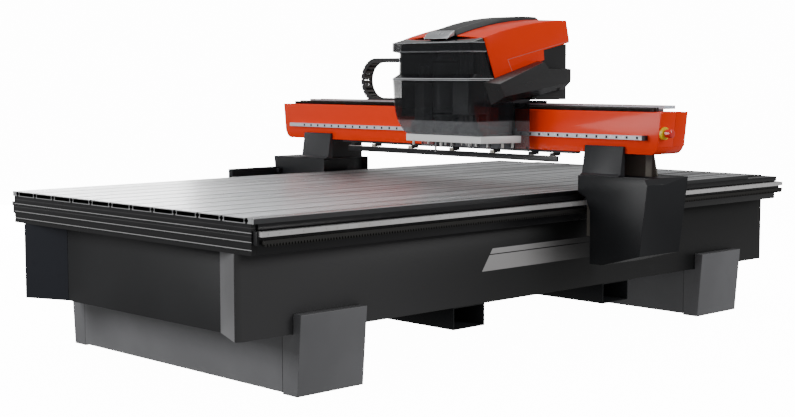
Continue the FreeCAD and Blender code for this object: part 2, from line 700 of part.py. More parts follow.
def hood_visor():
    """Sloped black brow between the shroud's top edge and the roof."""
    sections = [(1482.2, -208, 280), (1503, -121, 276)]
    outer = Part.makeLoft([u_wire(front, half, 0, 18, z) for z, front, half in sections], True, True)
    inner = Part.makeLoft([u_wire(front + 8, half - 5, 40, 13, z - 3) for z, front, half in sections],
                          True, True)
    flat_top = box((HEAD_X - 300, HEAD_X + 300), (-117, 60), (1470, 1510))
    return outer.cut(inner).cut(behind_side_covers()).cut(flat_top)


def head_covers():
    lower = [(1016.2, -112, 271), (1098, -178, 277), (1191, -198, 279), (1293, -207, 280)]
    skirt = [(1016.2, -96, 256), (1088, -96, 256)]
    save("lower_shroud", [u_shell(lower, 108, 18, 5, False), u_shell(skirt, 104, 14, 3, True)] + wing_covers())
    save("upper_shroud", [upper_shroud()])
    save("hood_visor", [hood_visor()])
    chain_slot = box((HEAD_X - 330, HEAD_X - 250), (280, 360), (1384, 1419))
    save("side_covers", [side_cover(), flipped(side_cover(), HEAD_X).cut(chain_slot)])
    save("roof_covers", both([roof_half()], HEAD_X))
    save("roof_strip", [roof_strip()])
    cap = [(-170, 1500), (-152, 1524), (-116, 1544), (-116, 1516)]
    save("hood_cap", [prism_yz(cap, (HEAD_X - 84, HEAD_X + 84))])
    save("side_pods", [side_pod(), flipped(side_pod(), HEAD_X).cut(chain_slot)])
    save("base_ring", [base_ring()] + ring_bumpers())
    save("rear_housing", [rear_housing()])


# ---------------------------------------------------------------- head mechanism
def carriage_plate():
    """Saddle: a front plate on the front rail and a shelf over the top rail."""
    wide = box((HEAD_X - 270, HEAD_X + 270), (PLATE_FRONT, PLATE_BACK), (945, 1180))
    tall = box((HEAD_X - 250, HEAD_X + 250), (PLATE_FRONT, PLATE_BACK), (1180, 1478))
    shelf = box((HEAD_X - 250, HEAD_X + 250), (PLATE_BACK, 272), (1178, 1196))
    shelf = shelf.cut(rod(14, (HEAD_X + 120, 164, 1170), (HEAD_X + 120, 164, 1200)))
    return fuse([wide, tall, shelf])


def x_block(x):
    """Rail carriage on the front rail."""
    block = box((x - 39, x + 39), (PLATE_BACK, GANTRY_FRONT - 4.5), (X_RAIL_Z - 22, X_RAIL_Z + 22))
    groove = box((x - 50, x + 50), (GANTRY_FRONT - RAIL_DEEP - 0.4, GANTRY_FRONT),
                 (X_RAIL_Z - RAIL_WIDE / 2 - 0.4, X_RAIL_Z + RAIL_WIDE / 2 + 0.4))
    return block.cut(groove)


def x_top_block(x):
    """Rail carriage on the top rail."""
    block = box((x - 39, x + 39), (214, 258), (GANTRY_TOP + 5, 1178))
    return block.cut(box((x - 50, x + 50), (225.6, 246.4), (GANTRY_TOP, GANTRY_TOP + RAIL_DEEP - 2.6)))


def x_drive():
    """Vertical motor and gearbox of the X axis, on the saddle's shelf."""
    x = HEAD_X + 120
    gearbox = rod(29, (x, 164, 1196), (x, 164, 1250)).cut(rod(6.4, (x, 164, 1190), (x, 164, 1226)))
    motor = box((x - 30, x + 30), (134.5, 194), (1250, 1370))
    return fuse([gearbox, motor])


def x_pinion(rack_start):
    """Pinion of the X axis with its shaft, in mesh with the rack on the beam."""
    radius = X_MODULE * X_TEETH / 2
    centre_x = HEAD_X + 120
    centre_y = X_RACK_PITCH_Y - radius
    pitch = math.pi * X_MODULE
    offset = (centre_x - rack_start) / pitch
    phase = offset - math.floor(offset)
    turn = math.pi / 2 + (phase - 0.5) * pitch / radius
    points = [(centre_x + a, centre_y + b) for a, b in pinion_outline(X_MODULE, X_TEETH, turn)]
    gear = prism_xy(points, (GANTRY_TOP + 2, GANTRY_TOP + 14))
    return fuse([gear, rod(6, (centre_x, centre_y, GANTRY_TOP + 2), (centre_x, centre_y, 1222))])


def z_rail(x):
    """Vertical rail on the saddle's front."""
    return box((x - 7.5, x + 7.5), (PLATE_FRONT - 15, PLATE_FRONT), (950, 1470))


def z_block(x, z):
    """Carriage on a vertical rail."""
    block = box((x - 17, x + 17), (86, PLATE_FRONT - 4), (z - 28, z + 28))
    return block.cut(box((x - 7.9, x + 7.9), (PLATE_FRONT - 15.4, PLATE_FRONT), (z - 40, z + 40)))


def spindle_slide():
    """Moving plate, clamp and nut of the milling spindle's Z axis."""
    plate = box((SPINDLE_X - 82, SPINDLE_X + 82), (66, 86), (1120, 1400))
    clamp = box((SPINDLE_X - 72, SPINDLE_X + 72), (0, 66), (1150, 1360))
    clamp = clamp.cut(rod(SPINDLE_R, (SPINDLE_X, SPINDLE_Y, 1100), (SPINDLE_X, SPINDLE_Y, 1450)))
    nut = box((SPINDLE_X - 22, SPINDLE_X + 22), (86, 110), (1230, 1270))
    nut = nut.cut(rod(8.4, (SPINDLE_X, 98, 1200), (SPINDLE_X, 98, 1300)))
    return fuse([plate, clamp, nut])


def spindle_motor():
    """Milling spindle's body, bored for its shaft."""
    body = rod(SPINDLE_R, (SPINDLE_X, SPINDLE_Y, 1100), (SPINDLE_X, SPINDLE_Y, 1410))
    nose = rod(42, (SPINDLE_X, SPINDLE_Y, 1080), (SPINDLE_X, SPINDLE_Y, 1100))
    top = rod(40, (SPINDLE_X, SPINDLE_Y, 1410), (SPINDLE_X, SPINDLE_Y, 1430))
    return fuse([body, nose, top]).cut(rod(20.05, (SPINDLE_X, SPINDLE_Y, 1070), (SPINDLE_X, SPINDLE_Y, 1300)))


def tool_holder():
    """Spindle shaft with its collet nut."""
    shaft = rod(20, (SPINDLE_X, SPINDLE_Y, 1050), (SPINDLE_X, SPINDLE_Y, 1295))
    nut = rod(24, (SPINDLE_X, SPINDLE_Y, 1022), (SPINDLE_X, SPINDLE_Y, 1050))
    return fuse([shaft, nut]).cut(rod(6, (SPINDLE_X, SPINDLE_Y, 1000), (SPINDLE_X, SPINDLE_Y, 1052)))


def cutter():
    """Two-flute router bit in the collet."""
    shank = rod(6, (SPINDLE_X, SPINDLE_Y, 990), (SPINDLE_X, SPINDLE_Y, 1052))
    blade = box((SPINDLE_X - 6, SPINDLE_X + 6), (SPINDLE_Y - 2, SPINDLE_Y + 2), (958, 992))
    core = rod(3.5, (SPINDLE_X, SPINDLE_Y, 958), (SPINDLE_X, SPINDLE_Y, 992))
    return fuse([shank, blade, core])


def drill_positions():
    return [DRILL_X + i * DRILL_PITCH for i in range(DRILL_COUNT)]


def drill_block():
    """Drilling head: gear case with a bore for each drill spindle, and its moving plate."""
    case = box((DRILL_X - 22, DRILL_X + 86), (-60, 30), (1120, 1325))
    for x in drill_positions():
        case = case.cut(rod(9.05, (x, DRILL_Y, 1110), (x, DRILL_Y, 1220)))
    middle = DRILL_MIDDLE
    spacer = box((middle - 50, middle + 50), (30, 66), (1150, 1300))
    plate = box((middle - 64, middle + 64), (66, 86), (1120, 1320))
    lug = box((middle - 12, middle + 12), (86, LIFT_Y + 6), (1188, 1202))
    return fuse([case, spacer, plate, lug])


def drill_spindle(x):
    """One drill spindle with its chuck and bit."""
    shaft = rod(9, (x, DRILL_Y, 1060), (x, DRILL_Y, 1216))
    chuck = rod(12, (x, DRILL_Y, 1030), (x, DRILL_Y, 1060))
    bit = rod(4, (x, DRILL_Y, 966), (x, DRILL_Y, 1030))
    tip = Part.makeCone(0.4, 4, 6, Vector(x, DRILL_Y, 960), Vector(0, 0, 1))
    return fuse([shaft, chuck, bit, tip])


def drill_actuators():
    """Row of small air cylinders on top of the drilling head."""
    cylinders = []
    for x in drill_positions():
        barrel = rod(11, (x, DRILL_Y, 1325), (x, DRILL_Y, 1430))
        cylinders.append(fuse([barrel, rod(6, (x, DRILL_Y, 1430), (x, DRILL_Y, 1444))]))
    return cylinders


def lift_barrel():
    """Air cylinder that lowers the drilling head, fixed to the saddle."""
    x = DRILL_MIDDLE
    barrel = rod(11.5, (x, LIFT_Y, 1226), (x, LIFT_Y, 1490)).cut(rod(9, (x, LIFT_Y, 1238), (x, LIFT_Y, 1480)))
    return barrel.cut(rod(5.05, (x, LIFT_Y, 1220), (x, LIFT_Y, 1240)))


def lift_rod():
    """Piston and rod of the lift cylinder."""
    x = DRILL_MIDDLE
    return fuse([rod(5, (x, LIFT_Y, 1202), (x, LIFT_Y, 1444)), rod(8.95, (x, LIFT_Y, 1440), (x, LIFT_Y, 1450))])


def z_drive_case():
    """Grey guide case of the tool-changing aid at the left of the head, with its bracket."""
    case = box((-25, 45), (-70, -10), (1058, 1278))
    top = box((-8, 32), (-58, -18), (1278, 1366))
    arm = box((-20, 20), (-10, PLATE_FRONT), (1180, 1250))
    return fuse([case, top, arm])


def z_motor():
    """Motor of the spindle's Z axis on its bracket."""
    bracket = box((SPINDLE_X - 40, SPINDLE_X + 40), (60, PLATE_BACK), (1478, 1484))
    bracket = bracket.cut(rod(9, (SPINDLE_X, 98, 1470), (SPINDLE_X, 98, 1490)))
    motor = box((SPINDLE_X - 34, SPINDLE_X + 34), (64, PLATE_BACK), (1484, 1540))
    return fuse([bracket, motor]).cut(rod(9, (SPINDLE_X, 98, 1470), (SPINDLE_X, 98, 1500)))


def air_nozzle():
    """Blow-off pipe beside the spindle, on an arm from the saddle."""
    pipe = rod(5, (52, 10, 921), (52, 10, 1100))
    return fuse([pipe, box((46, 58), (10, PLATE_FRONT), (1090, 1102))])


def head_mechanism():
    save("carriage_plate", [carriage_plate()])
    blocks = [x_block(HEAD_X - 225), x_block(HEAD_X + 225)]
    save("x_rail_blocks", blocks + [x_top_block(HEAD_X - 190), x_top_block(HEAD_X + 190)])
    save("x_drive", [x_drive()])
    save("x_pinion", [x_pinion(x_rack()[1])])
    spindle_rails = [SPINDLE_X - 62, SPINDLE_X + 62]
    drill_rails = [DRILL_MIDDLE - 40, DRILL_MIDDLE + 40]
    save("z_rails", [z_rail(x) for x in spindle_rails + drill_rails])
    save("spindle_slide", [spindle_slide()] + [z_block(x, z) for x in spindle_rails for z in (1190, 1350)])
    save("spindle_motor", [spindle_motor()])
    save("tool_holder", [tool_holder(), cutter()])
    save("ball_screw", [rod(8, (SPINDLE_X, 98, 1000), (SPINDLE_X, 98, 1484))])
    save("z_motor", [z_motor()])
    drill_blocks = [z_block(x, z) for x in drill_rails for z in (1185, 1290)]
    save("drill_block", [drill_block(), lift_rod()] + drill_blocks + drill_actuators())
    for i, x in enumerate(drill_positions()):
        save("drill_spindle_" + str(i + 1), [drill_spindle(x)])
    save("lift_barrel", [lift_barrel()])
    save("guide_unit", [z_drive_case(), air_nozzle()])


# ---------------------------------------------------------------- energy chains
def chain_bend_x():
    """The head chain's half-turn, standing on the tray."""
    centre = Vector(X_CHAIN_BEND, X_CHAIN_Y[0], X_CHAIN_LOW + X_CHAIN_OUTER)
    wide = X_CHAIN_Y[1] - X_CHAIN_Y[0]
    ring = Part.makeCylinder(X_CHAIN_OUTER, wide, centre, Vector(0, 1, 0))
    ring = ring.cut(Part.makeCylinder(X_CHAIN_OUTER - CHAIN_THICK, wide, centre, Vector(0, 1, 0)))
    return ring.common(box((X_CHAIN_BEND - 200, X_CHAIN_BEND), (0, 500), (1100, 1500)))


def energy_chains():
    save("x_chain_bend", [chain_bend_x()])
    top = X_CHAIN_LOW + 2 * X_CHAIN_OUTER
    save("x_chain_upper", [box((X_CHAIN_BEND, HEAD_X - 259), X_CHAIN_Y, (top - CHAIN_THICK, top))])
    save("x_chain_lower", [box((X_CHAIN_BEND, 100), X_CHAIN_Y, (X_CHAIN_LOW, X_CHAIN_LOW + CHAIN_THICK))])


os.makedirs("parts", exist_ok=True)
bed()
gantry()
head_covers()
head_mechanism()
energy_chains()
print(len(os.listdir("parts")), "parts")
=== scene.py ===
import math

import bmesh
import bpy
from mathutils import Matrix, Vector


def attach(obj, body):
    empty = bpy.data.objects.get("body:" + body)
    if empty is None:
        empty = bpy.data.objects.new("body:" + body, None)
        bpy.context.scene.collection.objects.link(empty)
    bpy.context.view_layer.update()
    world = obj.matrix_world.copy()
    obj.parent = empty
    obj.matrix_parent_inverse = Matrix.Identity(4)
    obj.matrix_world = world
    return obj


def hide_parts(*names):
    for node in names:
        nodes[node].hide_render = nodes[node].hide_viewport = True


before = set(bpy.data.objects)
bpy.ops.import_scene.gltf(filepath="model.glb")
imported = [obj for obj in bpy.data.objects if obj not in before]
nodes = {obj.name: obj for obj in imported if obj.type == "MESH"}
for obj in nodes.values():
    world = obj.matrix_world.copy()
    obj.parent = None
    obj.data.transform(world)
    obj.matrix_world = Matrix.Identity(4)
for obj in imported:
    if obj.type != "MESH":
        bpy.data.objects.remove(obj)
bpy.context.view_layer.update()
collection = bpy.context.scene.collection

# ---------------------------------------------------------------- studio
# A three-quarter view from the right of the front end, from just above the table. The machine
# stands on a pale floor that curves up behind it, under soft lights.
VIEW_FROM = (5.3506, -5.4007, 1.3331)
VIEW_TURN = (84.64, 0.0, 45.91)
VIEW_LENS = 65.69

camera = bpy.data.objects.new("camera", bpy.data.cameras.new("camera"))
camera.location = VIEW_FROM
camera.rotation_euler = [math.radians(angle) for angle in VIEW_TURN]
camera.data.lens = VIEW_LENS
collection.objects.link(camera)
bpy.context.scene.camera = camera


class Flow:
    """A socket of a node tree. Sums and products on it add Math nodes behind it."""

    def __init__(self, tree, socket):
        self.tree = tree
        self.socket = socket

    def math(self, operation, *others):
        return node(self.tree, "ShaderNodeMath", self, *others, operation=operation)

    def __add__(self, other):
        return self.math("ADD", other)

    def __sub__(self, other):
        return self.math("SUBTRACT", other)

    def __rsub__(self, other):
        return node(self.tree, "ShaderNodeMath", other, self, operation="SUBTRACT")

    def __mul__(self, other):
        return self.math("MULTIPLY", other)

    def __truediv__(self, other):
        return self.math("DIVIDE", other)

    __radd__ = __add__
    __rmul__ = __mul__

    def rise(self, start, end):
        """0 below start, 1 above end, and smooth between them; start may be the larger."""
        return node(self.tree, "ShaderNodeMapRange", self, start, end, interpolation_type="SMOOTHSTEP")

    def between(self, low, high, soft=0.0005):
        """1 between low and high, with edges as soft as given."""
        return self.rise(low - soft, low + soft) * self.rise(high + soft, high - soft)

    def bands(self, lines, soft=0.0005):
        """1 inside each (low, high) pair; the pairs do not overlap."""
        total = None
        for low, high in lines:
            band = self.between(low, high, soft)
            total = band if total is None else total + band
        return total


def join(tree, socket, value):
    """Links a Flow to a socket, or sets the socket's own value."""
    if isinstance(value, Flow):
        tree.links.new(value.socket, socket)
    elif value is not None:
        socket.default_value = value


def node(tree, kind, *values, out=0, **named):
    """Adds a node. Lower-case names are its settings, others its sockets; values fill them in order."""
    made = tree.nodes.new(kind)
    for key, value in named.items():
        if key[0].islower():
            setattr(made, key, value)
    for socket, value in zip(made.inputs, values):
        join(tree, socket, value)
    for key, value in named.items():
        if not key[0].islower():
            join(tree, made.inputs[key.replace("_", " ")], value)
    return Flow(tree, made.outputs[out])


class Finish:
    """A material: its colour, roughness and relief are built up call by call, then linked by done()."""

    def __init__(self, name, colour, rough, **sockets):
        self.material = bpy.data.materials.new(name)
        self.material.use_nodes = True
        self.tree = self.material.node_tree
        self.shader = self.tree.nodes["Principled BSDF"]
        for key, value in sockets.items():
            self.shader.inputs[key.replace("_", " ")].default_value = value
        self.colour = (*colour, 1.0)
        self.rough = rough
        self.metal = None
        self.alpha = None
        self.height = None
        self.place = node(self.tree, "ShaderNodeTexCoord", out=3)
        split = node(self.tree, "ShaderNodeSeparateXYZ", self.place).socket.node
        self.x, self.y, self.z = [Flow(self.tree, socket) for socket in split.outputs]

    def noise(self, scale, detail=2.0, stretch=(1.0, 1.0, 1.0)):
        """Seeded cloud pattern from 0 to 1, stretched along an axis where its factor is small."""
        place = self.place
        if stretch != (1.0, 1.0, 1.0):
            place = node(self.tree, "ShaderNodeMapping", Vector=place, Scale=stretch)
        return node(self.tree, "ShaderNodeTexNoise", Vector=place, Scale=scale, Detail=detail)

    def tint(self, mask, colour):
        """Turns the base colour to another where the mask is 1."""
        mixed = node(self.tree, "ShaderNodeMix", mask, data_type="RGBA", out=2)
        mixer = mixed.socket.node
        join(self.tree, mixer.inputs[6], self.colour)
        join(self.tree, mixer.inputs[7], (*colour, 1.0))
        self.colour = mixed

    def relief(self, height):
        """Adds a height in metres to the surface's relief."""
        self.height = height if self.height is None else self.height + height

    def done(self):
        links = (("Base Color", self.colour), ("Roughness", self.rough), ("Metallic", self.metal),
                 ("Alpha", self.alpha))
        for name, value in links:
            join(self.tree, self.shader.inputs[name], value)
        if self.height is not None:
            join(self.tree, self.shader.inputs["Normal"],
                 node(self.tree, "ShaderNodeBump", Strength=1.0, Distance=1.0, Height=self.height))
        return self.material


def backdrop():
    """A floor that rises in one long curve behind the machine."""
    wide = 40.0
    front = -30.0
    back = 16.0
    bend = 6.0
    top = 30.0
    steps = 12
    rows = [(front, 0.0), (back, 0.0)]
    for i in range(1, steps + 1):
        angle = math.radians(i * 90 / steps)
        rows.append((back + bend * math.sin(angle), bend - bend * math.cos(angle)))
    rows.append((back + bend, top))
    turn = Matrix.Rotation(math.radians(VIEW_TURN[2]), 4, "Z")
    verts = [turn @ Vector((side * wide, y, z)) for y, z in rows for side in (-1, 1)]
    faces = [(2 * i, 2 * i + 1, 2 * i + 3, 2 * i + 2) for i in range(len(rows) - 1)]
    mesh = bpy.data.meshes.new("floor")
    mesh.from_pydata(verts, [], faces)
    mesh.shade_smooth()
    floor = bpy.data.objects.new("floor", mesh)
    collection.objects.link(floor)
    paper = Finish("floor_paper", (0.93, 0.93, 0.93), 0.9, Specular_IOR_Level=0.0,
                   Emission_Strength=14.0)
    paper.shader.inputs["Emission Color"].default_value = (1.0, 1.0, 1.0, 1.0)
    mesh.materials.append(paper.done())
    floor.visible_diffuse = False
    floor.visible_glossy = False


def soft_light(name, place, size, power, aim=(0.0, 0.0, 0.7)):
    """A square soft box that shines at a point."""
    lamp = bpy.data.lights.new(name, "AREA")
    lamp.size = size
    lamp.energy = power
    lit = bpy.data.objects.new(name, lamp)
    lit.location = place
    lit.rotation_euler = (Vector(aim) - Vector(place)).to_track_quat("-Z", "Y").to_euler()
    lit.visible_camera = False
    collection.objects.link(lit)


backdrop()
soft_light("overhead_light", (0.0, 1.0, 6.5), 6.0, 200.0)
soft_light("left_light", (-3.0, -7.5, 3.6), 3.0, 340.0)
soft_light("rear_light", (-7.6, 1.6, 2.4), 4.0, 420.0, (-0.3, -1.5, 0.75))
soft_light("right_light", (6.5, 1.5, 3.4), 2.5, 150.0)
world = bpy.data.worlds.new("studio")
world.use_nodes = True
world.node_tree.nodes["Background"].inputs["Color"].default_value = (1.0, 1.0, 1.0, 1.0)
world.node_tree.nodes["Background"].inputs["Strength"].default_value = 0.34
bpy.context.scene.world = world

# ---------------------------------------------------------------- plinths
# Two welded steel boxes across the machine, each with a flared block at both ends. They are
# powder coated in mid grey and stand on screw feet of the same colour.
SEAM_X = 0.757


def powder_coat(name, colour, rough=0.42, **sockets):
    """Baked powder paint: fine orange-peel grain, faint mottling and a few rubbed places."""
    coat = Finish(name, colour, rough, Specular_IOR_Level=0.32, **sockets)
    cloud = coat.noise(3.1, 3.0)
    rubbed = coat.noise(11.0, 4.0, (1.0, 0.35, 1.6)).rise(0.60, 0.74)
    coat.tint(cloud.rise(0.35, 0.7) * 0.35, [value * 1.35 + 0.002 for value in colour])
    coat.rough = rough + (cloud - 0.5) * 0.10 - rubbed * 0.06
    coat.relief(coat.noise(700.0, 1.0) * 0.00003 + coat.noise(170.0, 2.0) * 0.00004)
    return coat


def paint(finish, *names):
    """Puts a finish on CAD nodes that keep their own shape."""
    for name in names:
        slots = nodes[name].material_slots
        for place in slots:
            place.material = finish
        if not slots:
            nodes[name].data.materials.append(finish)


def finished(piece, body):
    """A piece moves with a body."""
    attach(piece, body)
    return piece


def softened(name, width, finish, body, angle=24.0, segments=2):
    """Stands in for a CAD node with the same shape, its edges rounded as folded sheet's are."""
    bm = bmesh.new()
    bm.from_mesh(nodes[name].data)
    bmesh.ops.remove_doubles(bm, verts=bm.verts, dist=0.00002)
    bmesh.ops.dissolve_limit(bm, angle_limit=math.radians(0.4), verts=bm.verts, edges=bm.edges)
    mesh = bpy.data.meshes.new(name + "_rounded")
    bm.to_mesh(mesh)
    bm.free()
    piece = bpy.data.objects.new(name + "_rounded", mesh)
    collection.objects.link(piece)
    bevel = piece.modifiers.new("edges", "BEVEL")
    bevel.width = width
    bevel.segments = segments
    bevel.limit_method = "ANGLE"
    bevel.angle_limit = math.radians(angle)
    bevel.harden_normals = True
    mesh.shade_smooth()
    piece.data = baked(piece)
    piece.modifiers.clear()
    piece.data.materials.clear()
    piece.data.materials.append(finish)
    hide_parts(name)
    return finished(piece, body)


def baked(piece):
    """The mesh that a piece's modifiers make."""
    bpy.context.view_layer.update()
    graph = bpy.context.evaluated_depsgraph_get()
    return bpy.data.meshes.new_from_object(piece.evaluated_get(graph))


plinth_paint = powder_coat("plinth_paint", (0.165, 0.166, 0.174), 0.40)
seam = plinth_paint.x.math("ABSOLUTE").between(SEAM_X - 0.0012, SEAM_X + 0.0012)
plinth_paint.tint(seam * 0.8, (0.006, 0.006, 0.006))
scuffs = plinth_paint.noise(38.0, 5.0, (0.4, 1.0, 2.2)).rise(0.58, 0.66) * plinth_paint.z.rise(0.05, 0.0)
plinth_paint.tint(scuffs * 0.5, (0.22, 0.22, 0.22))
plinth_paint.rough = plinth_paint.rough + scuffs * 0.2
plinth_grey = plinth_paint.done()
paint(plinth_grey, "plinths")
softened("foot_covers", 0.003, plinth_grey, "bed")

# ---------------------------------------------------------------- fork tubes and frame
# Rectangular tubes across the bed take a fork lift; deep tubes run along it and cross beams
# carry the table. All are welded steel in black powder coat.
frame_paint = powder_coat("frame_paint", (0.019, 0.020, 0.022), 0.46).done()
paint(frame_paint, "base_frame", "deck_beams")
softened("fork_tubes", 0.002, frame_paint, "bed")

# ---------------------------------------------------------------- side and end sheets
# Folded steel sheets close the bed. The long side sheets carry two plain silver stripes that
# fade out towards the rear; slanted bright sheets join them to the recessed end sheet.
STRIPE_FRONT = -0.470
STRIPES = ((0.4890, 0.5140), (0.4110, 0.4840))
STRIPE_LOW = 0.411
STRIPE_END = 0.42


def stripe_mask(coat):
    """Slant-cut bands on the outer faces, full at the front and fading rearwards."""
    slant = coat.y - (coat.z - STRIPE_LOW) * 0.70
    along = slant.rise(STRIPE_FRONT - 0.0015, STRIPE_FRONT + 0.0015) * coat.y.rise(STRIPE_END, -0.36)
    outer = coat.x.math("ABSOLUTE").rise(0.8235, 0.8245)
    return along * coat.z.bands(STRIPES, 0.0012) * outer


side_paint = powder_coat("side_paint", (0.010, 0.0102, 0.0105), 0.42)
# Painted light: the black sheet is painted lighter towards its front end.
side_paint.tint(side_paint.y.rise(0.2, -1.7), (0.062, 0.062, 0.064))
stripes = stripe_mask(side_paint)
side_paint.tint(stripes, (0.50, 0.49, 0.49))
side_paint.rough = side_paint.rough - stripes * 0.06
side_paint.metal = stripes * 0.35
softened("side_panels", 0.0025, side_paint.done(), "bed", 40.0)

end_paint = powder_coat("end_paint", (0.017, 0.0175, 0.019), 0.44)
softened("end_panels", 0.001, end_paint.done(), "bed")
strip_paint = powder_coat("strip_paint", (0.30, 0.30, 0.31), 0.34, Metallic=0.55)
# Painted shade: the corner strips on the left side are painted dark.
strip_paint.tint(strip_paint.x.rise(0.0, -0.1), (0.030, 0.032, 0.040))
paint(strip_paint.done(), "corner_strips")

# ---------------------------------------------------------------- edge beams and end profiles
# Black anodised extrusions edge the bed: a beam with an upstand along each side, and a profile
# with three thin lips across each end, whose edges carry painted highlights.
edge_black = powder_coat("edge_black", (0.011, 0.011, 0.012), 0.30)
edge_black.relief(edge_black.noise(240.0, 2.0, (1.0, 0.01, 1.0)) * 0.00004)
softened("side_beams", 0.0012, edge_black.done(), "bed")

LIP_HEIGHTS = (0.639, 0.671, 0.707)
LIP_HALF = 0.0018
DIM_HIGHLIGHT_LINES = ((0.7255, 0.7285), (0.6915, 0.6945))
lip_black = powder_coat("lip_black", (0.011, 0.011, 0.012), 0.30)
lips = lip_black.z.bands([(height - LIP_HALF, height + LIP_HALF) for height in LIP_HEIGHTS], 0.0004)
outermost = lip_black.y.rise(-1.8930, -1.8944) + lip_black.y.rise(1.9005, 1.9019)
# Painted highlights: bright lines on the lips' outermost faces, and dimmer lines at two other heights.
lip_highlight = lips * outermost
lip_black.tint(lip_black.z.bands(DIM_HIGHLIGHT_LINES, 0.0004), (0.055, 0.055, 0.057))
lip_black.tint(lip_highlight, (0.62, 0.62, 0.63))
lip_black.metal = lip_highlight * 0.8
paint(lip_black.done(), "end_profiles")

# ---------------------------------------------------------------- table
# Hollow aluminium planks lie along the bed with T-slots between them. Their tops are ribbed
# along the slots, ground flat and clear anodised, so they shine in long streaks; darker streaks
# towards the rear are a painted reflection of the gantry.
TABLE_TOP = 0.766
RIB_PITCH = 0.0081
RIB_WIDE = 0.0042
RIB_HIGH = 0.0006
TABLE_FRONT = -1.895
TABLE_REAR = 1.603
TABLE_MIDDLE = (TABLE_FRONT + TABLE_REAR) / 2
SLOT_PITCH = 0.160
SLOT_FLOOR = 0.7450
SLOT_WIDE = 0.0138
PLANK_COUNT = 11
RIBS_EACH_SIDE = 8
RIB_LONG = TABLE_REAR - TABLE_FRONT - 0.004


def geometry_tree(name, sockets):
    """An empty Geometry Nodes tree with named inputs; returns it, its inputs and its output."""
    tree = bpy.data.node_groups.new(name, "GeometryNodeTree")
    tree.interface.new_socket("Geometry", in_out="INPUT", socket_type="NodeSocketGeometry")
    for label, kind in sockets:
        tree.interface.new_socket(label, in_out="INPUT", socket_type="NodeSocket" + kind)
    tree.interface.new_socket("Geometry", in_out="OUTPUT", socket_type="NodeSocketGeometry")
    source = tree.nodes.new("NodeGroupInput")
    inputs = {socket.name: Flow(tree, socket) for socket in source.outputs if socket.name}
    return tree, inputs, tree.nodes.new("NodeGroupOutput").inputs[0]


def close_tree(tree, made, finish, end):
    """Every tree ends by turning instances into real faces and giving them their finish."""
    real = node(tree, "GeometryNodeRealizeInstances", made)
    join(tree, end, node(tree, "GeometryNodeSetMaterial", Geometry=real, Material=finish))


def grown(name, tree, points, inputs, body, path=False, smooth=30.0):
    """Runs a tree on points, or on a path through them, and keeps the result as a plain mesh."""
    mesh = bpy.data.meshes.new(name)
    edges = [(i, i + 1) for i in range(len(points) - 1)] if path else []
    mesh.from_pydata(points, edges, [])
    piece = bpy.data.objects.new(name, mesh)
    collection.objects.link(piece)
    grower = piece.modifiers.new("grown", "NODES")
    grower.node_group = tree
    for socket in tree.interface.items_tree:
        if socket.in_out == "INPUT" and socket.name in inputs:
            grower[socket.identifier] = inputs[socket.name]
    result = baked(piece)
    piece.modifiers.clear()
    piece.data = result
    result.name = name
    result.shade_smooth()
    result.set_sharp_from_angle(angle=math.radians(smooth))
    return finished(piece, body)


def block_tree():
    """Puts a block of one size at every point: ribs, louvres, cross bars and plates."""
    tree, inputs, end = geometry_tree("blocks", (("Size", "Vector"), ("Turn", "Vector"),
                                                 ("Finish", "Material")))
    cube = node(tree, "GeometryNodeMeshCube", Size=inputs["Size"])
    made = node(tree, "GeometryNodeInstanceOnPoints", Points=inputs["Geometry"], Instance=cube,
                Rotation=inputs["Turn"])
    close_tree(tree, made, inputs["Finish"], end)
    return tree


blocks = block_tree()
table_metal = Finish("table_metal", (0.80, 0.81, 0.82), 0.30, Metallic=1.0)
streaks = table_metal.noise(60.0, 4.0, (1.0, 0.012, 1.0))
fine = table_metal.noise(420.0, 2.0, (1.0, 0.006, 1.0))
table_metal.tint(streaks.rise(0.35, 0.75) * 0.35, (0.62, 0.63, 0.65))
# Painted reflection: dark streaks that grow stronger towards the rear.
reflection_streaks = table_metal.noise(21.0, 3.0, (1.0, 0.015, 1.0)).rise(0.47, 0.60)
table_metal.tint(reflection_streaks * (table_metal.y.rise(-1.5, 0.6) * 0.62 + 0.12), (0.24, 0.24, 0.24))
# Painted shade: the plank tops darken towards each slot.
slot_line = ((table_metal.x / SLOT_PITCH).math("FRACT") - 0.5).math("ABSOLUTE") * SLOT_PITCH
table_metal.tint(slot_line.rise(0.0105, 0.0080) * 0.5, (0.30, 0.29, 0.28))
table_metal.rough = 0.20 + streaks * 0.12 + fine * 0.06
table_metal.relief(fine * 0.00002)
# Painted shade: the slot walls and every face below the top, except the front, are painted near black.
inside = table_metal.z.rise(0.7645, 0.7625) * table_metal.y.rise(-1.8940, -1.8920)
table_metal.tint(inside * 0.9, (0.035, 0.035, 0.037))
table_finish = table_metal.done()
paint(table_finish, "table_planks")

ribs = []
for i in range(PLANK_COUNT):
    middle = (i - (PLANK_COUNT - 1) / 2) * SLOT_PITCH
    for k in range(-RIBS_EACH_SIDE, RIBS_EACH_SIDE + 1):
        ribs.append((middle + k * RIB_PITCH, TABLE_MIDDLE, TABLE_TOP))
grown("table_ribs", blocks, ribs,
      {"Size": (RIB_WIDE, RIB_LONG, RIB_HIGH * 2), "Finish": table_finish}, "bed")
# Painted shade: black strips on the slot floors stand in for the shade down in the slots.
slot_shade_strips = []
for i in range(PLANK_COUNT + 1):
    slot_shade_strips.append(((i - PLANK_COUNT / 2) * SLOT_PITCH, TABLE_MIDDLE, SLOT_FLOOR))
grown("slot_shade_strips", blocks, slot_shade_strips,
      {"Size": (SLOT_WIDE, RIB_LONG, 0.002), "Finish": frame_paint}, "bed")

# ---------------------------------------------------------------- Y rails and racks
# A black bar on each side of the bed holds a ground steel rail, screwed on every 60 mm, and
# below it a rack with its teeth down.
RAIL_FACE_X = 0.961
Y_RAIL_Z = 0.704
RAIL_SCREW_PITCH = 0.060
Y_SCREWS = 63
Y_SCREW_FRONT = -1.850


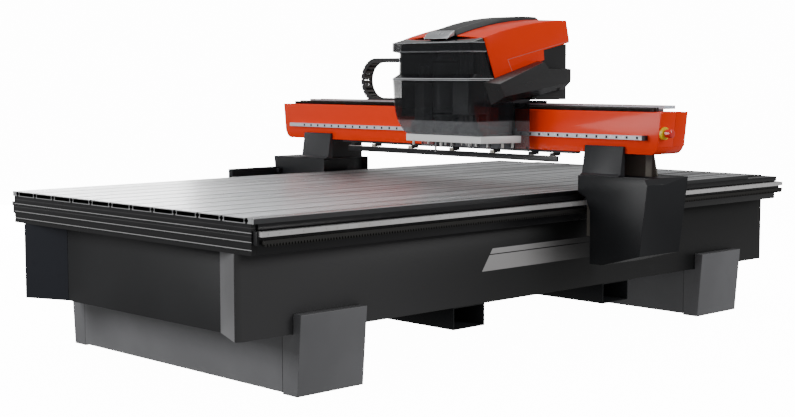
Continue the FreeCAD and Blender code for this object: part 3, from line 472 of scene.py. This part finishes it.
def screw_tree():
    """Puts a socket-head screw at every point, its head turned the way that is asked."""
    tree, inputs, end = geometry_tree("screws", (("Radius", "Float"), ("Height", "Float"),
                                                 ("Turn", "Vector"), ("Finish", "Material")))
    head = node(tree, "GeometryNodeMeshCylinder", fill_type="NGON", Vertices=12, Radius=inputs["Radius"],
                Depth=inputs["Height"])
    facing = node(tree, "GeometryNodeInputNormal")
    up = node(tree, "ShaderNodeSeparateXYZ", facing, out=2).math("GREATER_THAN", 0.5)
    rim = node(tree, "GeometryNodeExtrudeMesh", head, mode="FACES", Selection=up, Offset_Scale=0.0)
    top = Flow(tree, rim.socket.node.outputs["Top"])
    shrunk = node(tree, "GeometryNodeScaleElements", rim, Selection=top, Scale=0.56)
    socket = node(tree, "GeometryNodeExtrudeMesh", shrunk, mode="FACES", Selection=top,
                  Offset_Scale=inputs["Height"] * -0.6)
    made = node(tree, "GeometryNodeInstanceOnPoints", Points=inputs["Geometry"], Instance=socket,
                Rotation=inputs["Turn"])
    close_tree(tree, made, inputs["Finish"], end)
    return tree


screws = screw_tree()
FACING_FRONT = (math.pi / 2, 0.0, 0.0)
FACING_REAR = (-math.pi / 2, 0.0, 0.0)
FACING_RIGHT = (0.0, math.pi / 2, 0.0)
FACING_LEFT = (0.0, -math.pi / 2, 0.0)


def screwed(name, places, radius, height, turn, finish, body):
    """Socket-head screws of one size, all facing one way."""
    inputs = {"Radius": radius, "Height": height, "Turn": turn, "Finish": finish}
    return grown(name, screws, places, inputs, body)


bar_black = powder_coat("bar_black", (0.013, 0.013, 0.014), 0.34).done()
softened("y_rail_bars", 0.001, bar_black, "bed")
ground_steel = Finish("ground_steel", (0.88, 0.87, 0.87), 0.22, Metallic=0.6)
ground_steel.rough = 0.14 + ground_steel.noise(90.0, 3.0) * 0.16
ground_steel.relief(ground_steel.noise(900.0, 1.0, (1.0, 0.02, 1.0)) * 0.00001)
oil_film = ground_steel.noise(9.0, 3.0).rise(0.5, 0.8)
ground_steel.tint(oil_film * 0.4, (0.60, 0.56, 0.48))
ground_finish = ground_steel.done()
paint(ground_finish, "y_rails")
rack_steel = Finish("rack_steel", (0.040, 0.039, 0.037), 0.42, Metallic=0.7)
rack_steel.rough = 0.36 + rack_steel.noise(70.0, 4.0) * 0.2
rack_steel.relief(rack_steel.noise(400.0, 2.0) * 0.00002)
rack_finish = rack_steel.done()
paint(rack_finish, "y_racks")
screw_steel = Finish("screw_steel", (0.030, 0.030, 0.032), 0.35, Metallic=0.8)
screw_steel.rough = 0.30 + screw_steel.noise(300.0, 1.0) * 0.2
screw_finish = screw_steel.done()
for side, facing in ((1, FACING_RIGHT), (-1, FACING_LEFT)):
    places = []
    for i in range(Y_SCREWS):
        places.append((side * (RAIL_FACE_X - 0.0016), Y_SCREW_FRONT + i * RAIL_SCREW_PITCH, Y_RAIL_Z))
    screwed("y_rail_screws_" + ("right" if side > 0 else "left"), places, 0.0043, 0.003, facing,
            ground_finish, "bed")

# ---------------------------------------------------------------- legs
# Each end of the gantry stands on a welded leg that runs on the rail, wrapped in folded sheet
# covers in blue-black powder coat. A sloped cover closes the joint of leg and beam.
RIGHT_LEG_REAR = 0.415
LEFT_LEG_REAR = 0.443
LEG_SCREW_X = (1.045, 1.255)
LEG_SCREW_Z = (0.480, 0.650, 0.805)

leg_paint = powder_coat("leg_paint", (0.0105, 0.0112, 0.0132), 0.40)
# Painted highlight: the covers are painted lighter above 838.6 mm, and lighter again on the left leg.
lit_fascia = leg_paint.z.rise(0.8384, 0.8388) * 0.55
leg_paint.tint(lit_fascia, (0.024, 0.026, 0.030))
leg_paint.tint(lit_fascia * leg_paint.x.rise(0.0, -0.1), (0.055, 0.056, 0.060))
leg_finish = leg_paint.done()
softened("leg_covers", 0.0025, leg_finish, "gantry", 12.0)
weld_paint = powder_coat("weld_paint", (0.150, 0.138, 0.120), 0.34)
# Painted light: the welded legs are painted lighter towards the top, and the left leg is painted near black
# as shade.
shade = weld_paint.z.rise(0.850, 0.940)
weld_paint.tint(shade * 0.5, (0.17, 0.165, 0.155))
weld_paint.tint(weld_paint.x.rise(0.0, -0.1), (0.009, 0.009, 0.010))
softened("legs", 0.003, weld_paint.done(), "gantry")
drive_paint = powder_coat("drive_paint", (0.017, 0.017, 0.019), 0.5).done()
softened("y_drives", 0.003, drive_paint, "gantry")
block_steel = Finish("block_steel", (0.30, 0.30, 0.31), 0.32, Metallic=1.0)
block_steel.rough = 0.28 + block_steel.noise(200.0, 2.0) * 0.15
block_finish = block_steel.done()
paint(block_finish, "y_rail_blocks", "x_rail_blocks")
paint(ground_finish, "left_y_pinion", "right_y_pinion", "x_pinion")
for name, side, rear in (("right", 1, RIGHT_LEG_REAR), ("left", -1, LEFT_LEG_REAR)):
    places = [(side * x, rear + 0.0008, z) for x in LEG_SCREW_X for z in LEG_SCREW_Z]
    screwed("leg_screws_" + name, places, 0.005, 0.0026, FACING_REAR, screw_finish, "gantry")

# ---------------------------------------------------------------- guard arm
# A hollow sheet arm reaches forward from the front face of the left leg's cover, near its outer
# edge. A small block stands beside its root.
softened("guard_arm", 0.0015, leg_finish, "gantry")

# ---------------------------------------------------------------- gantry beam
# A welded box beam spans the two legs, with a folded plate on each end. Both are finished in
# glossy orange lacquer.
ORANGE = (0.93, 0.038, 0.001)


def lacquer(name, colour, rough=0.24):
    """Gloss stove enamel: a clear top coat over colour, with slight orange peel."""
    coat = Finish(name, colour, rough, Specular_IOR_Level=0.10, Coat_Weight=0.10, Coat_Roughness=0.06)
    cloud = coat.noise(2.3, 2.0)
    coat.tint(cloud.rise(0.3, 0.8) * 0.22, (colour[0] * 0.80, colour[1] * 0.62, colour[2] * 0.6))
    coat.rough = rough + (coat.noise(14.0, 3.0) - 0.5) * 0.08
    coat.relief(coat.noise(120.0, 2.0) * 0.00005)
    return coat


beam_orange = lacquer("beam_orange", ORANGE).done()
softened("gantry_beam", 0.003, beam_orange, "gantry")
end_orange = lacquer("end_orange", ORANGE)
# Painted shade: a dark line along the plate's fold.
fold_shade = end_orange.y.between(0.2768, 0.2782, 0.0006)
end_orange.tint(fold_shade * 0.7, (0.12, 0.008, 0.002))
softened("beam_end_plates", 0.0016, end_orange.done(), "gantry")

# ---------------------------------------------------------------- emergency stop
# A red mushroom button stands in a yellow moulded base on the right-hand end plate. The button
# is a body of its own and can be pressed.


def moulding(name, colour, rough=0.28, **sockets):
    """Moulded plastic: an even colour with a faint grain and soft handling marks."""
    plastic = Finish(name, colour, rough, **sockets)
    plastic.rough = rough + (plastic.noise(30.0, 3.0) - 0.5) * 0.12
    plastic.tint(plastic.noise(12.0, 3.0).rise(0.45, 0.8) * 0.2, [value * 0.8 for value in colour])
    plastic.relief(plastic.noise(500.0, 1.0) * 0.00001)
    return plastic


stop_yellow = moulding("stop_yellow", (0.86, 0.66, 0.02), 0.3).done()
paint(stop_yellow, "stop_housing")
stop_red = moulding("stop_red", (0.80, 0.018, 0.012), 0.16, Coat_Weight=0.6).done()
paint(stop_red, "stop_button")

# ---------------------------------------------------------------- X rails, rack and cable tray
# The front rail is screwed on every 60 mm; a second rail, the rack and the tray for the energy
# chain lie on the beam's top.
X_SCREWS = 41
X_SCREW_LEFT = -1.154
X_RAIL_FACE_Y = 0.139
X_RAIL_Z = 1.027
X_RAIL_EDGES = ((1.0185, 1.0197), (1.0343, 1.0355))
x_steel = Finish("x_rail_steel", (0.86, 0.89, 0.95), 0.30, Metallic=0.35)
x_steel.rough = 0.18 + x_steel.noise(90.0, 3.0) * 0.14
x_steel.relief(x_steel.noise(900.0, 1.0, (0.02, 1.0, 1.0)) * 0.00001)
# Painted shade: two darker lines along the rail's edges.
x_steel.tint(x_steel.z.bands(X_RAIL_EDGES, 0.0003) * 0.5, (0.30, 0.31, 0.34))
# Painted shadow: dark discs round the screws, where the counterbores lie in shade.
along_pitch = ((x_steel.x - X_SCREW_LEFT) / RAIL_SCREW_PITCH + 0.5).math("FRACT") - 0.5
bore_shadow = (along_pitch.math("ABSOLUTE") * RAIL_SCREW_PITCH).rise(0.0068, 0.0058)
bore_shadow = bore_shadow * (x_steel.z - X_RAIL_Z).math("ABSOLUTE").rise(0.0066, 0.0056)
x_steel.tint(bore_shadow * x_steel.x.rise(-1.19, -1.18), (0.020, 0.022, 0.030))
top_rail = x_steel.z.rise(1.10, 1.11)
x_steel.tint(top_rail, (0.035, 0.034, 0.033))
paint(x_steel.done(), "x_rails")
paint(rack_finish, "x_rack")
rail_screws = []
for i in range(X_SCREWS):
    rail_screws.append((X_SCREW_LEFT + i * RAIL_SCREW_PITCH, X_RAIL_FACE_Y + 0.007, X_RAIL_Z))
screwed("x_rail_screws", rail_screws, 0.0042, 0.004, FACING_FRONT, screw_finish, "gantry")
tray_paint = powder_coat("tray_paint", (0.52, 0.55, 0.60), 0.30, Metallic=0.3)
# Painted highlight: the tray is painted pink-white above 1174.8 mm.
tray_paint.tint(tray_paint.z.rise(1.1745, 1.1752), (0.62, 0.40, 0.40))
paint(tray_paint.done(), "chain_tray")

# ---------------------------------------------------------------- cross bar
# A black bar with a painted highlight along its upper edge hangs under the beam, from dark
# clamps below a sheet strip. Four of the clamps have bright tips at the front.
CLAMP_X = (-0.575, 0.345)
CLAMP_Z = (0.9215, 0.9358)
bar_paint = powder_coat("bar_paint", (0.014, 0.014, 0.016), 0.36)
# Painted highlight: the bar's upper edge is painted light.
bar_paint.tint(bar_paint.z.rise(0.9195, 0.9203), (0.52, 0.49, 0.48))
softened("cross_bar", 0.0015, bar_paint.done(), "gantry")
hanger_metal = powder_coat("hanger_metal", (0.018, 0.018, 0.020), 0.35)
clamp_tips = hanger_metal.z.between(*CLAMP_Z) * hanger_metal.x.between(*CLAMP_X)
clamp_tips = clamp_tips * hanger_metal.y.rise(0.1420, 0.1400)
hanger_metal.tint(clamp_tips, (0.62, 0.58, 0.50))
hanger_metal.metal = clamp_tips * 0.9
paint(hanger_metal.done(), "bar_hangers")

# ---------------------------------------------------------------- saddle and mechanism
# A blackened steel saddle plate runs on the rails. It carries the milling spindle on a screw,
# the drilling head on an air cylinder, and the grey tool guide.
SPINDLE_GROOVES = ((1.118, 1.128), (1.382, 1.392))
saddle_steel = Finish("saddle_steel", (0.055, 0.055, 0.060), 0.36, Metallic=0.75)
saddle_steel.rough = 0.30 + saddle_steel.noise(40.0, 4.0) * 0.16
saddle_steel.relief(saddle_steel.noise(300.0, 2.0) * 0.00002)
saddle_finish = saddle_steel.done()
softened("carriage_plate", 0.0015, saddle_finish, "carriage")
grey_case = powder_coat("grey_case", (0.42, 0.43, 0.45), 0.36).done()
softened("guide_unit", 0.002, grey_case, "carriage")
softened("spindle_slide", 0.002, powder_coat("slide_paint", (0.10, 0.10, 0.11), 0.38).done(),
         "spindle_slide")
spindle_shell = Finish("spindle_shell", (0.42, 0.43, 0.45), 0.30, Metallic=0.95)
spindle_shell.rough = 0.24 + spindle_shell.noise(220.0, 2.0, (1.0, 1.0, 0.05)) * 0.2
# Painted shade: the two grooves are painted near black.
spindle_shell.tint(spindle_shell.z.bands(SPINDLE_GROOVES), (0.02, 0.02, 0.02))
paint(spindle_shell.done(), "spindle_motor")
paint(ground_finish, "tool_holder", "ball_screw", "z_rails", "drill_spindle_1", "drill_spindle_2",
      "drill_spindle_3")
paint(drive_paint, "x_drive", "z_motor")
drill_case = Finish("drill_case", (0.62, 0.63, 0.66), 0.38, Metallic=0.6)
drill_case.rough = 0.34 + drill_case.noise(120.0, 3.0) * 0.18
drill_case.relief(drill_case.noise(200.0, 3.0) * 0.00003)
paint(drill_case.done(), "drill_block", "lift_barrel")

HEAD_X = 0.222
SADDLE_SCREW_Y = 0.1135
SADDLE_SCREWS = (((-0.258, 0.258), (0.962, 1.060)),
                 ((-0.258, -0.206, 0.206, 0.258), (1.165,)),
                 ((-0.368, -0.282, 0.282, 0.368), (0.957, 1.168)))
plate_screws = []
for offsets, heights in SADDLE_SCREWS:
    for offset in offsets:
        for z in heights:
            plate_screws.append((HEAD_X + offset, SADDLE_SCREW_Y, z))
screwed("saddle_screws", plate_screws, 0.0050, 0.004, FACING_FRONT, screw_finish, "carriage")


class Shape:
    """Bevelled blocks, rods and turned parts joined in one mesh, in metres."""

    def __init__(self):
        self.bm = bmesh.new()

    def block(self, x, y, z, bevel=0.0008):
        made = bmesh.ops.create_cube(self.bm, size=1.0)["verts"]
        for vert in made:
            share = vert.co + Vector((0.5, 0.5, 0.5))
            vert.co = [low + (high - low) * part for (low, high), part in zip((x, y, z), share)]
        if bevel:
            edges = list(dict.fromkeys(edge for vert in made for edge in vert.link_edges))
            bmesh.ops.bevel(self.bm, geom=edges, offset=bevel, segments=2, profile=0.5, affect="EDGES")

    def turned(self, start, way, profile, sides=24):
        """A lathe shape: (distance along the way, radius) pairs, closed at both ends."""
        turn = Vector(way).to_track_quat("Z", "Y").to_matrix()
        rings = []
        for along, radius in profile:
            ring = []
            for i in range(sides):
                angle = 2 * math.pi * i / sides
                point = turn @ Vector((radius * math.cos(angle), radius * math.sin(angle), along))
                ring.append(self.bm.verts.new(Vector(start) + point))
            rings.append(ring)
        for low, high in zip(rings[:-1], rings[1:]):
            for i in range(sides):
                j = (i + 1) % sides
                self.bm.faces.new((low[i], low[j], high[j], high[i]))
        self.bm.faces.new(list(reversed(rings[0])))
        self.bm.faces.new(rings[-1])

    def hose(self, points, radius, sides=10):
        """A bent tube whose middle follows a smooth curve through the points."""
        spline = [Vector(point) for point in points]
        ends = [spline[0] * 2 - spline[1]] + spline + [spline[-1] * 2 - spline[-2]]
        path = []
        for i in range(1, len(ends) - 2):
            for k in range(8):
                t = k / 8
                a, b, c, d = ends[i - 1:i + 3]
                path.append(0.5 * (2 * b + (c - a) * t + (2 * a - 5 * b + 4 * c - d) * t * t
                                   + (3 * b - a - 3 * c + d) * t ** 3))
        path.append(spline[-1])
        rings = []
        for i, point in enumerate(path):
            ahead = path[min(i + 1, len(path) - 1)] - path[max(i - 1, 0)]
            turn = ahead.to_track_quat("Z", "Y").to_matrix()
            ring = []
            for k in range(sides):
                angle = 2 * math.pi * k / sides
                arm = turn @ Vector((math.cos(angle), math.sin(angle), 0)) * radius
                ring.append(self.bm.verts.new(point + arm))
            rings.append(ring)
        for low, high in zip(rings[:-1], rings[1:]):
            for k in range(sides):
                j = (k + 1) % sides
                self.bm.faces.new((low[k], low[j], high[j], high[k]))
        self.bm.faces.new(list(reversed(rings[0])))
        self.bm.faces.new(rings[-1])

    def piece(self, name, finish, body, slot_name, smooth=32.0):
        """Turns the shape into one finished piece on a body."""
        bmesh.ops.recalc_face_normals(self.bm, faces=self.bm.faces)
        mesh = bpy.data.meshes.new(name)
        self.bm.to_mesh(mesh)
        self.bm.free()
        mesh.shade_smooth()
        mesh.set_sharp_from_angle(angle=math.radians(smooth))
        mesh.materials.append(finish)
        made = bpy.data.objects.new(name, mesh)
        collection.objects.link(made)
        return finished(made, body)


# ---------------------------------------------------------------- head's small parts
# Air valves on a rail at the right of the head, with the hoses that leave them, and a folded
# black sheet that lines the shroud's left side.
VALVE_COUNT = 5
VALVE_LEFT = 0.388
VALVE_PITCH = 0.019
VALVE_WIDE = 0.016
VALVE_TOP = 1.352
NIPPLE = ((0, 0.0045), (0.008, 0.0045), (0.009, 0.0035), (0.018, 0.0035))
HOSE_Y = 0.076
LINER_HEIGHTS = (1.105, 1.476)
valve_black = moulding("valve_black", (0.020, 0.020, 0.022), 0.4).done()
valves = Shape()
for i in range(VALVE_COUNT):
    x = VALVE_LEFT + i * VALVE_PITCH
    valves.block((x, x + VALVE_WIDE), (0.060, 0.104), (1.292, VALVE_TOP), 0.0015)
    valves.turned((x + VALVE_WIDE / 2, HOSE_Y, VALVE_TOP), (0, 0, 1), NIPPLE, 12)
valves.block((0.380, 0.486), (0.104, 0.113), (1.276, 1.366), 0.001)
valves.piece("valve_rail", valve_black, "carriage", "black_moulding")
hose_black = moulding("hose_black", (0.012, 0.012, 0.013), 0.32).done()
hoses = Shape()
for i in range(VALVE_COUNT):
    x = VALVE_LEFT + VALVE_WIDE / 2 + i * VALVE_PITCH
    hoses.hose(((x, HOSE_Y, 1.366), (x, 0.070, 1.398), (x - 0.006, 0.078, 1.428),
                (x - 0.02 - i * 0.006, 0.098, 1.446), (x - 0.04 - i * 0.012, 0.104, 1.462)), 0.003)
hoses.piece("valve_hoses", hose_black, "carriage", "black_moulding")
liner = Shape()
liner.block((-0.040, -0.037), (-0.150, 0.112), LINER_HEIGHTS)
liner.block((-0.037, -0.020), (0.098, 0.112), LINER_HEIGHTS)
liner.piece("head_liner", hose_black, "carriage", "black_moulding")

# ---------------------------------------------------------------- energy chain
# Moulded links carry the head's cables: the lower run lies in the tray, turns over and enters
# the rear housing through a slot. The chain slides in its tray as the head moves, so the whole
# chain is one piece on the bend.
CHAIN_Y = (0.285, 0.355)
CHAIN_LOW = 1.164
CHAIN_OUTER = 0.125
CHAIN_THICK = 0.025
CHAIN_BEND = -0.695
CHAIN_RIGHT = 0.500
CHAIN_HIDDEN = 0.090
LINK_PITCH = 0.032
BEND_STEPS = 32


def link_tree():
    """Chain links along a path: two side plates, a lug inside each, cross bars above and below."""
    tree, inputs, end = geometry_tree("links", (("Pitch", "Float"), ("Width", "Float"), ("Height", "Float"),
                                                ("Plate", "Float"), ("Finish", "Material")))
    pitch, wide, high, plate = [inputs[label] for label in ("Pitch", "Width", "Height", "Plate")]

    def bar(x, y, z, size):
        cube = node(tree, "GeometryNodeMeshCube", Size=node(tree, "ShaderNodeCombineXYZ", *size))
        place = node(tree, "ShaderNodeCombineXYZ", x, y, z)
        return node(tree, "GeometryNodeTransform", cube, Translation=place)

    link = node(tree, "GeometryNodeJoinGeometry")
    for side in (-0.5, 0.5):
        inset = (wide - plate) * side
        across = bar(0.0, inset, 0.0, (pitch * 0.94, plate, high * 0.98))
        across_lug = bar(pitch * 0.5, (wide - plate * 2.6) * side, 0.0,
                         (pitch * 0.5, plate * 0.6, high * 0.6))
        above = bar(0.0, 0.0, (high - plate * 0.8) * side, (pitch * 0.36, wide * 0.98, plate * 0.7))
        for member in (across, across_lug, above):
            tree.links.new(member.socket, link.socket.node.inputs[0])
    curve = node(tree, "GeometryNodeMeshToCurve", inputs["Geometry"])
    spots = node(tree, "GeometryNodeCurveToPoints", curve, mode="LENGTH", Length=pitch)
    ahead = Flow(tree, spots.socket.node.outputs["Tangent"])
    turn = node(tree, "FunctionNodeAlignRotationToVector", axis="X", pivot_axis="Y", Vector=ahead)
    made = node(tree, "GeometryNodeInstanceOnPoints", Points=spots, Instance=link, Rotation=turn)
    close_tree(tree, made, inputs["Finish"], end)
    return tree


chain_plastic = moulding("chain_plastic", (0.022, 0.022, 0.024), 0.42)
inner_bars = chain_plastic.y.between(0.2925, 0.3475, 0.0004)
chain_plastic.tint(inner_bars * 0.7, (0.085, 0.078, 0.070))
chain_middle_y = sum(CHAIN_Y) / 2
bend_middle = CHAIN_LOW + CHAIN_OUTER
bend_radius = CHAIN_OUTER - CHAIN_THICK / 2
chain_path = [(CHAIN_RIGHT, chain_middle_y, CHAIN_LOW + CHAIN_THICK / 2)]
for i in range(BEND_STEPS + 1):
    angle = -math.pi / 2 - math.pi * i / BEND_STEPS
    chain_path.append((CHAIN_BEND + bend_radius * math.cos(angle), chain_middle_y,
                       bend_middle + bend_radius * math.sin(angle)))
chain_path.append((CHAIN_HIDDEN, chain_middle_y, CHAIN_LOW + 2 * CHAIN_OUTER - CHAIN_THICK / 2))
chain = grown("head_chain", link_tree(), chain_path,
              {"Pitch": LINK_PITCH, "Width": CHAIN_Y[1] - CHAIN_Y[0], "Height": CHAIN_THICK, "Plate": 0.0045,
               "Finish": chain_plastic.done()}, "chain_bend", path=True)
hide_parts("x_chain_lower", "x_chain_bend", "x_chain_upper")
cables = Shape()
for offset, radius in ((-0.020, 0.0050), (-0.008, 0.0042), (0.004, 0.0055), (0.018, 0.0045)):
    cables.hose([(x, y + offset, z) for x, y, z in chain_path], radius, 8)
cables.piece("chain_cables", hose_black, "chain_bend", "chain_plastic")

# ---------------------------------------------------------------- shroud
# A smoked clear moulding wraps round the tools. Its upper part has two ledges with painted highlights
# along their edges, and a paler band at the foot fits into the white ring.
LEDGE_LINES = ((1.2930, 1.2965), (1.3000, 1.3045), (1.4325, 1.4385), (1.4790, 1.4840))
smoked = Finish("smoked_cover", (0.012, 0.013, 0.015), 0.07, Specular_IOR_Level=0.35)
foot_band = smoked.z.rise(1.094, 1.086)
smoked.tint(foot_band, (0.20, 0.205, 0.215))
smoked.rough = 0.06 + smoked.noise(24.0, 3.0) * 0.05
smoked.alpha = 0.60 - foot_band * 0.14 + smoked.z.rise(1.15, 1.45) * 0.08
smoked.relief(smoked.noise(9.0, 1.0) * 0.0002)
smoked_finish = smoked.done()
paint(smoked_finish, "lower_shroud")
ledges = Finish("smoked_ledges", (0.012, 0.013, 0.015), 0.07, Specular_IOR_Level=0.35)
# Painted highlights: bright lines along the ledges' edges, also made more opaque.
ledge_highlights = ledges.z.bands(LEDGE_LINES)
ledges.tint(ledge_highlights * 0.85, (0.60, 0.61, 0.63))
ledges.rough = 0.06 + ledges.noise(24.0, 3.0) * 0.05
ledges.alpha = 0.74 + ledge_highlights * 0.24
paint(ledges.done(), "upper_shroud")
ring_white = moulding("ring_white", (0.95, 0.95, 0.945), 0.34)
ring_pins = ring_white.z.rise(0.9812, 0.9806)
ring_white.tint(ring_pins * 0.8, (0.70, 0.68, 0.64))
softened("base_ring", 0.002, ring_white.done(), "carriage")

# ---------------------------------------------------------------- hood
# Orange side covers and roof skins, a glossy black brow, a raised black strip along the top
# with a silver cap over its front end, and black pods along both sides.
gloss_black = moulding("gloss_black", (0.012, 0.012, 0.014), 0.14, Coat_Weight=0.7,
                       Coat_Roughness=0.04)
softened("hood_visor", 0.0012, gloss_black.done(), "carriage")
strip_black = moulding("strip_black", (0.010, 0.010, 0.011), 0.30, Specular_IOR_Level=0.22, Coat_Weight=0.12,
                       Coat_Roughness=0.05)
softened("roof_strip", 0.004, strip_black.done(), "carriage", 10.0, 3)
cap_silver = moulding("cap_silver", (0.50, 0.51, 0.53), 0.26, Metallic=0.55, Coat_Weight=0.3)
softened("hood_cap", 0.003, cap_silver.done(), "carriage")
roof_orange = lacquer("roof_orange", ORANGE).done()
softened("roof_covers", 0.0018, roof_orange, "carriage")

CREASE_START = (0.063, 1.397)
CREASE_END = (0.541, 1.496)
CREASE_FOOT = (0.098, 1.338)
side_orange = lacquer("side_orange", ORANGE)
rise_rate = (CREASE_END[1] - CREASE_START[1]) / (CREASE_END[0] - CREASE_START[0])
lean_rate = (CREASE_FOOT[0] - CREASE_START[0]) / (CREASE_START[1] - CREASE_FOOT[1])
above_crease = side_orange.z - (side_orange.y - CREASE_START[0]) * rise_rate - CREASE_START[1]
behind_crease = side_orange.y - (CREASE_START[1] - side_orange.z) * lean_rate - CREASE_START[0]
long_line = above_crease.between(-0.0013, 0.0013) * side_orange.y.rise(0.0625, 0.0635)
short_line = behind_crease.between(-0.0013, 0.0013) * side_orange.z.rise(1.3975, 1.3965)
# Painted highlight: a pale line along the panel's crease; the step below it is relief.
crease_highlight = long_line.math("MAXIMUM", short_line)
side_orange.tint(crease_highlight * 0.75, (0.62, 0.36, 0.31))
recess = above_crease.rise(0.001, -0.001) * behind_crease.rise(-0.001, 0.001)
side_orange.relief(recess * -0.0015)
softened("side_covers", 0.0014, side_orange.done(), "carriage")
pod_black = moulding("pod_black", (0.017, 0.017, 0.018), 0.30, Coat_Weight=0.25, Coat_Roughness=0.2)
softened("side_pods", 0.003, pod_black.done(), "carriage", 10.0, 3)

# ---------------------------------------------------------------- rear housing
# A black sheet box closes the head behind the hood, with louvres and screws in its rear face.
# The energy chain runs into it.
HOUSING_REAR = 0.548
LOUVRE_COUNT = 8
LOUVRE_LOW = 1.250
LOUVRE_PITCH = 0.016
CORNER_X = (-0.018, HEAD_X, 0.462)
CORNER_Z = (1.208, 1.464)
housing_paint = powder_coat("housing_paint", (0.020, 0.020, 0.021), 0.36).done()
softened("rear_housing", 0.0025, housing_paint, "carriage")
louvres = [(HEAD_X, HOUSING_REAR, LOUVRE_LOW + i * LOUVRE_PITCH) for i in range(LOUVRE_COUNT)]
grown("housing_louvres", blocks, louvres,
      {"Size": (0.260, 0.004, 0.0055), "Turn": (0.5, 0.0, 0.0), "Finish": housing_paint},
      "carriage")
corners = [(x, HOUSING_REAR + 0.0008, z) for x in CORNER_X for z in CORNER_Z]
screwed("housing_screws", corners, 0.0045, 0.0026, FACING_REAR, screw_finish, "carriage")
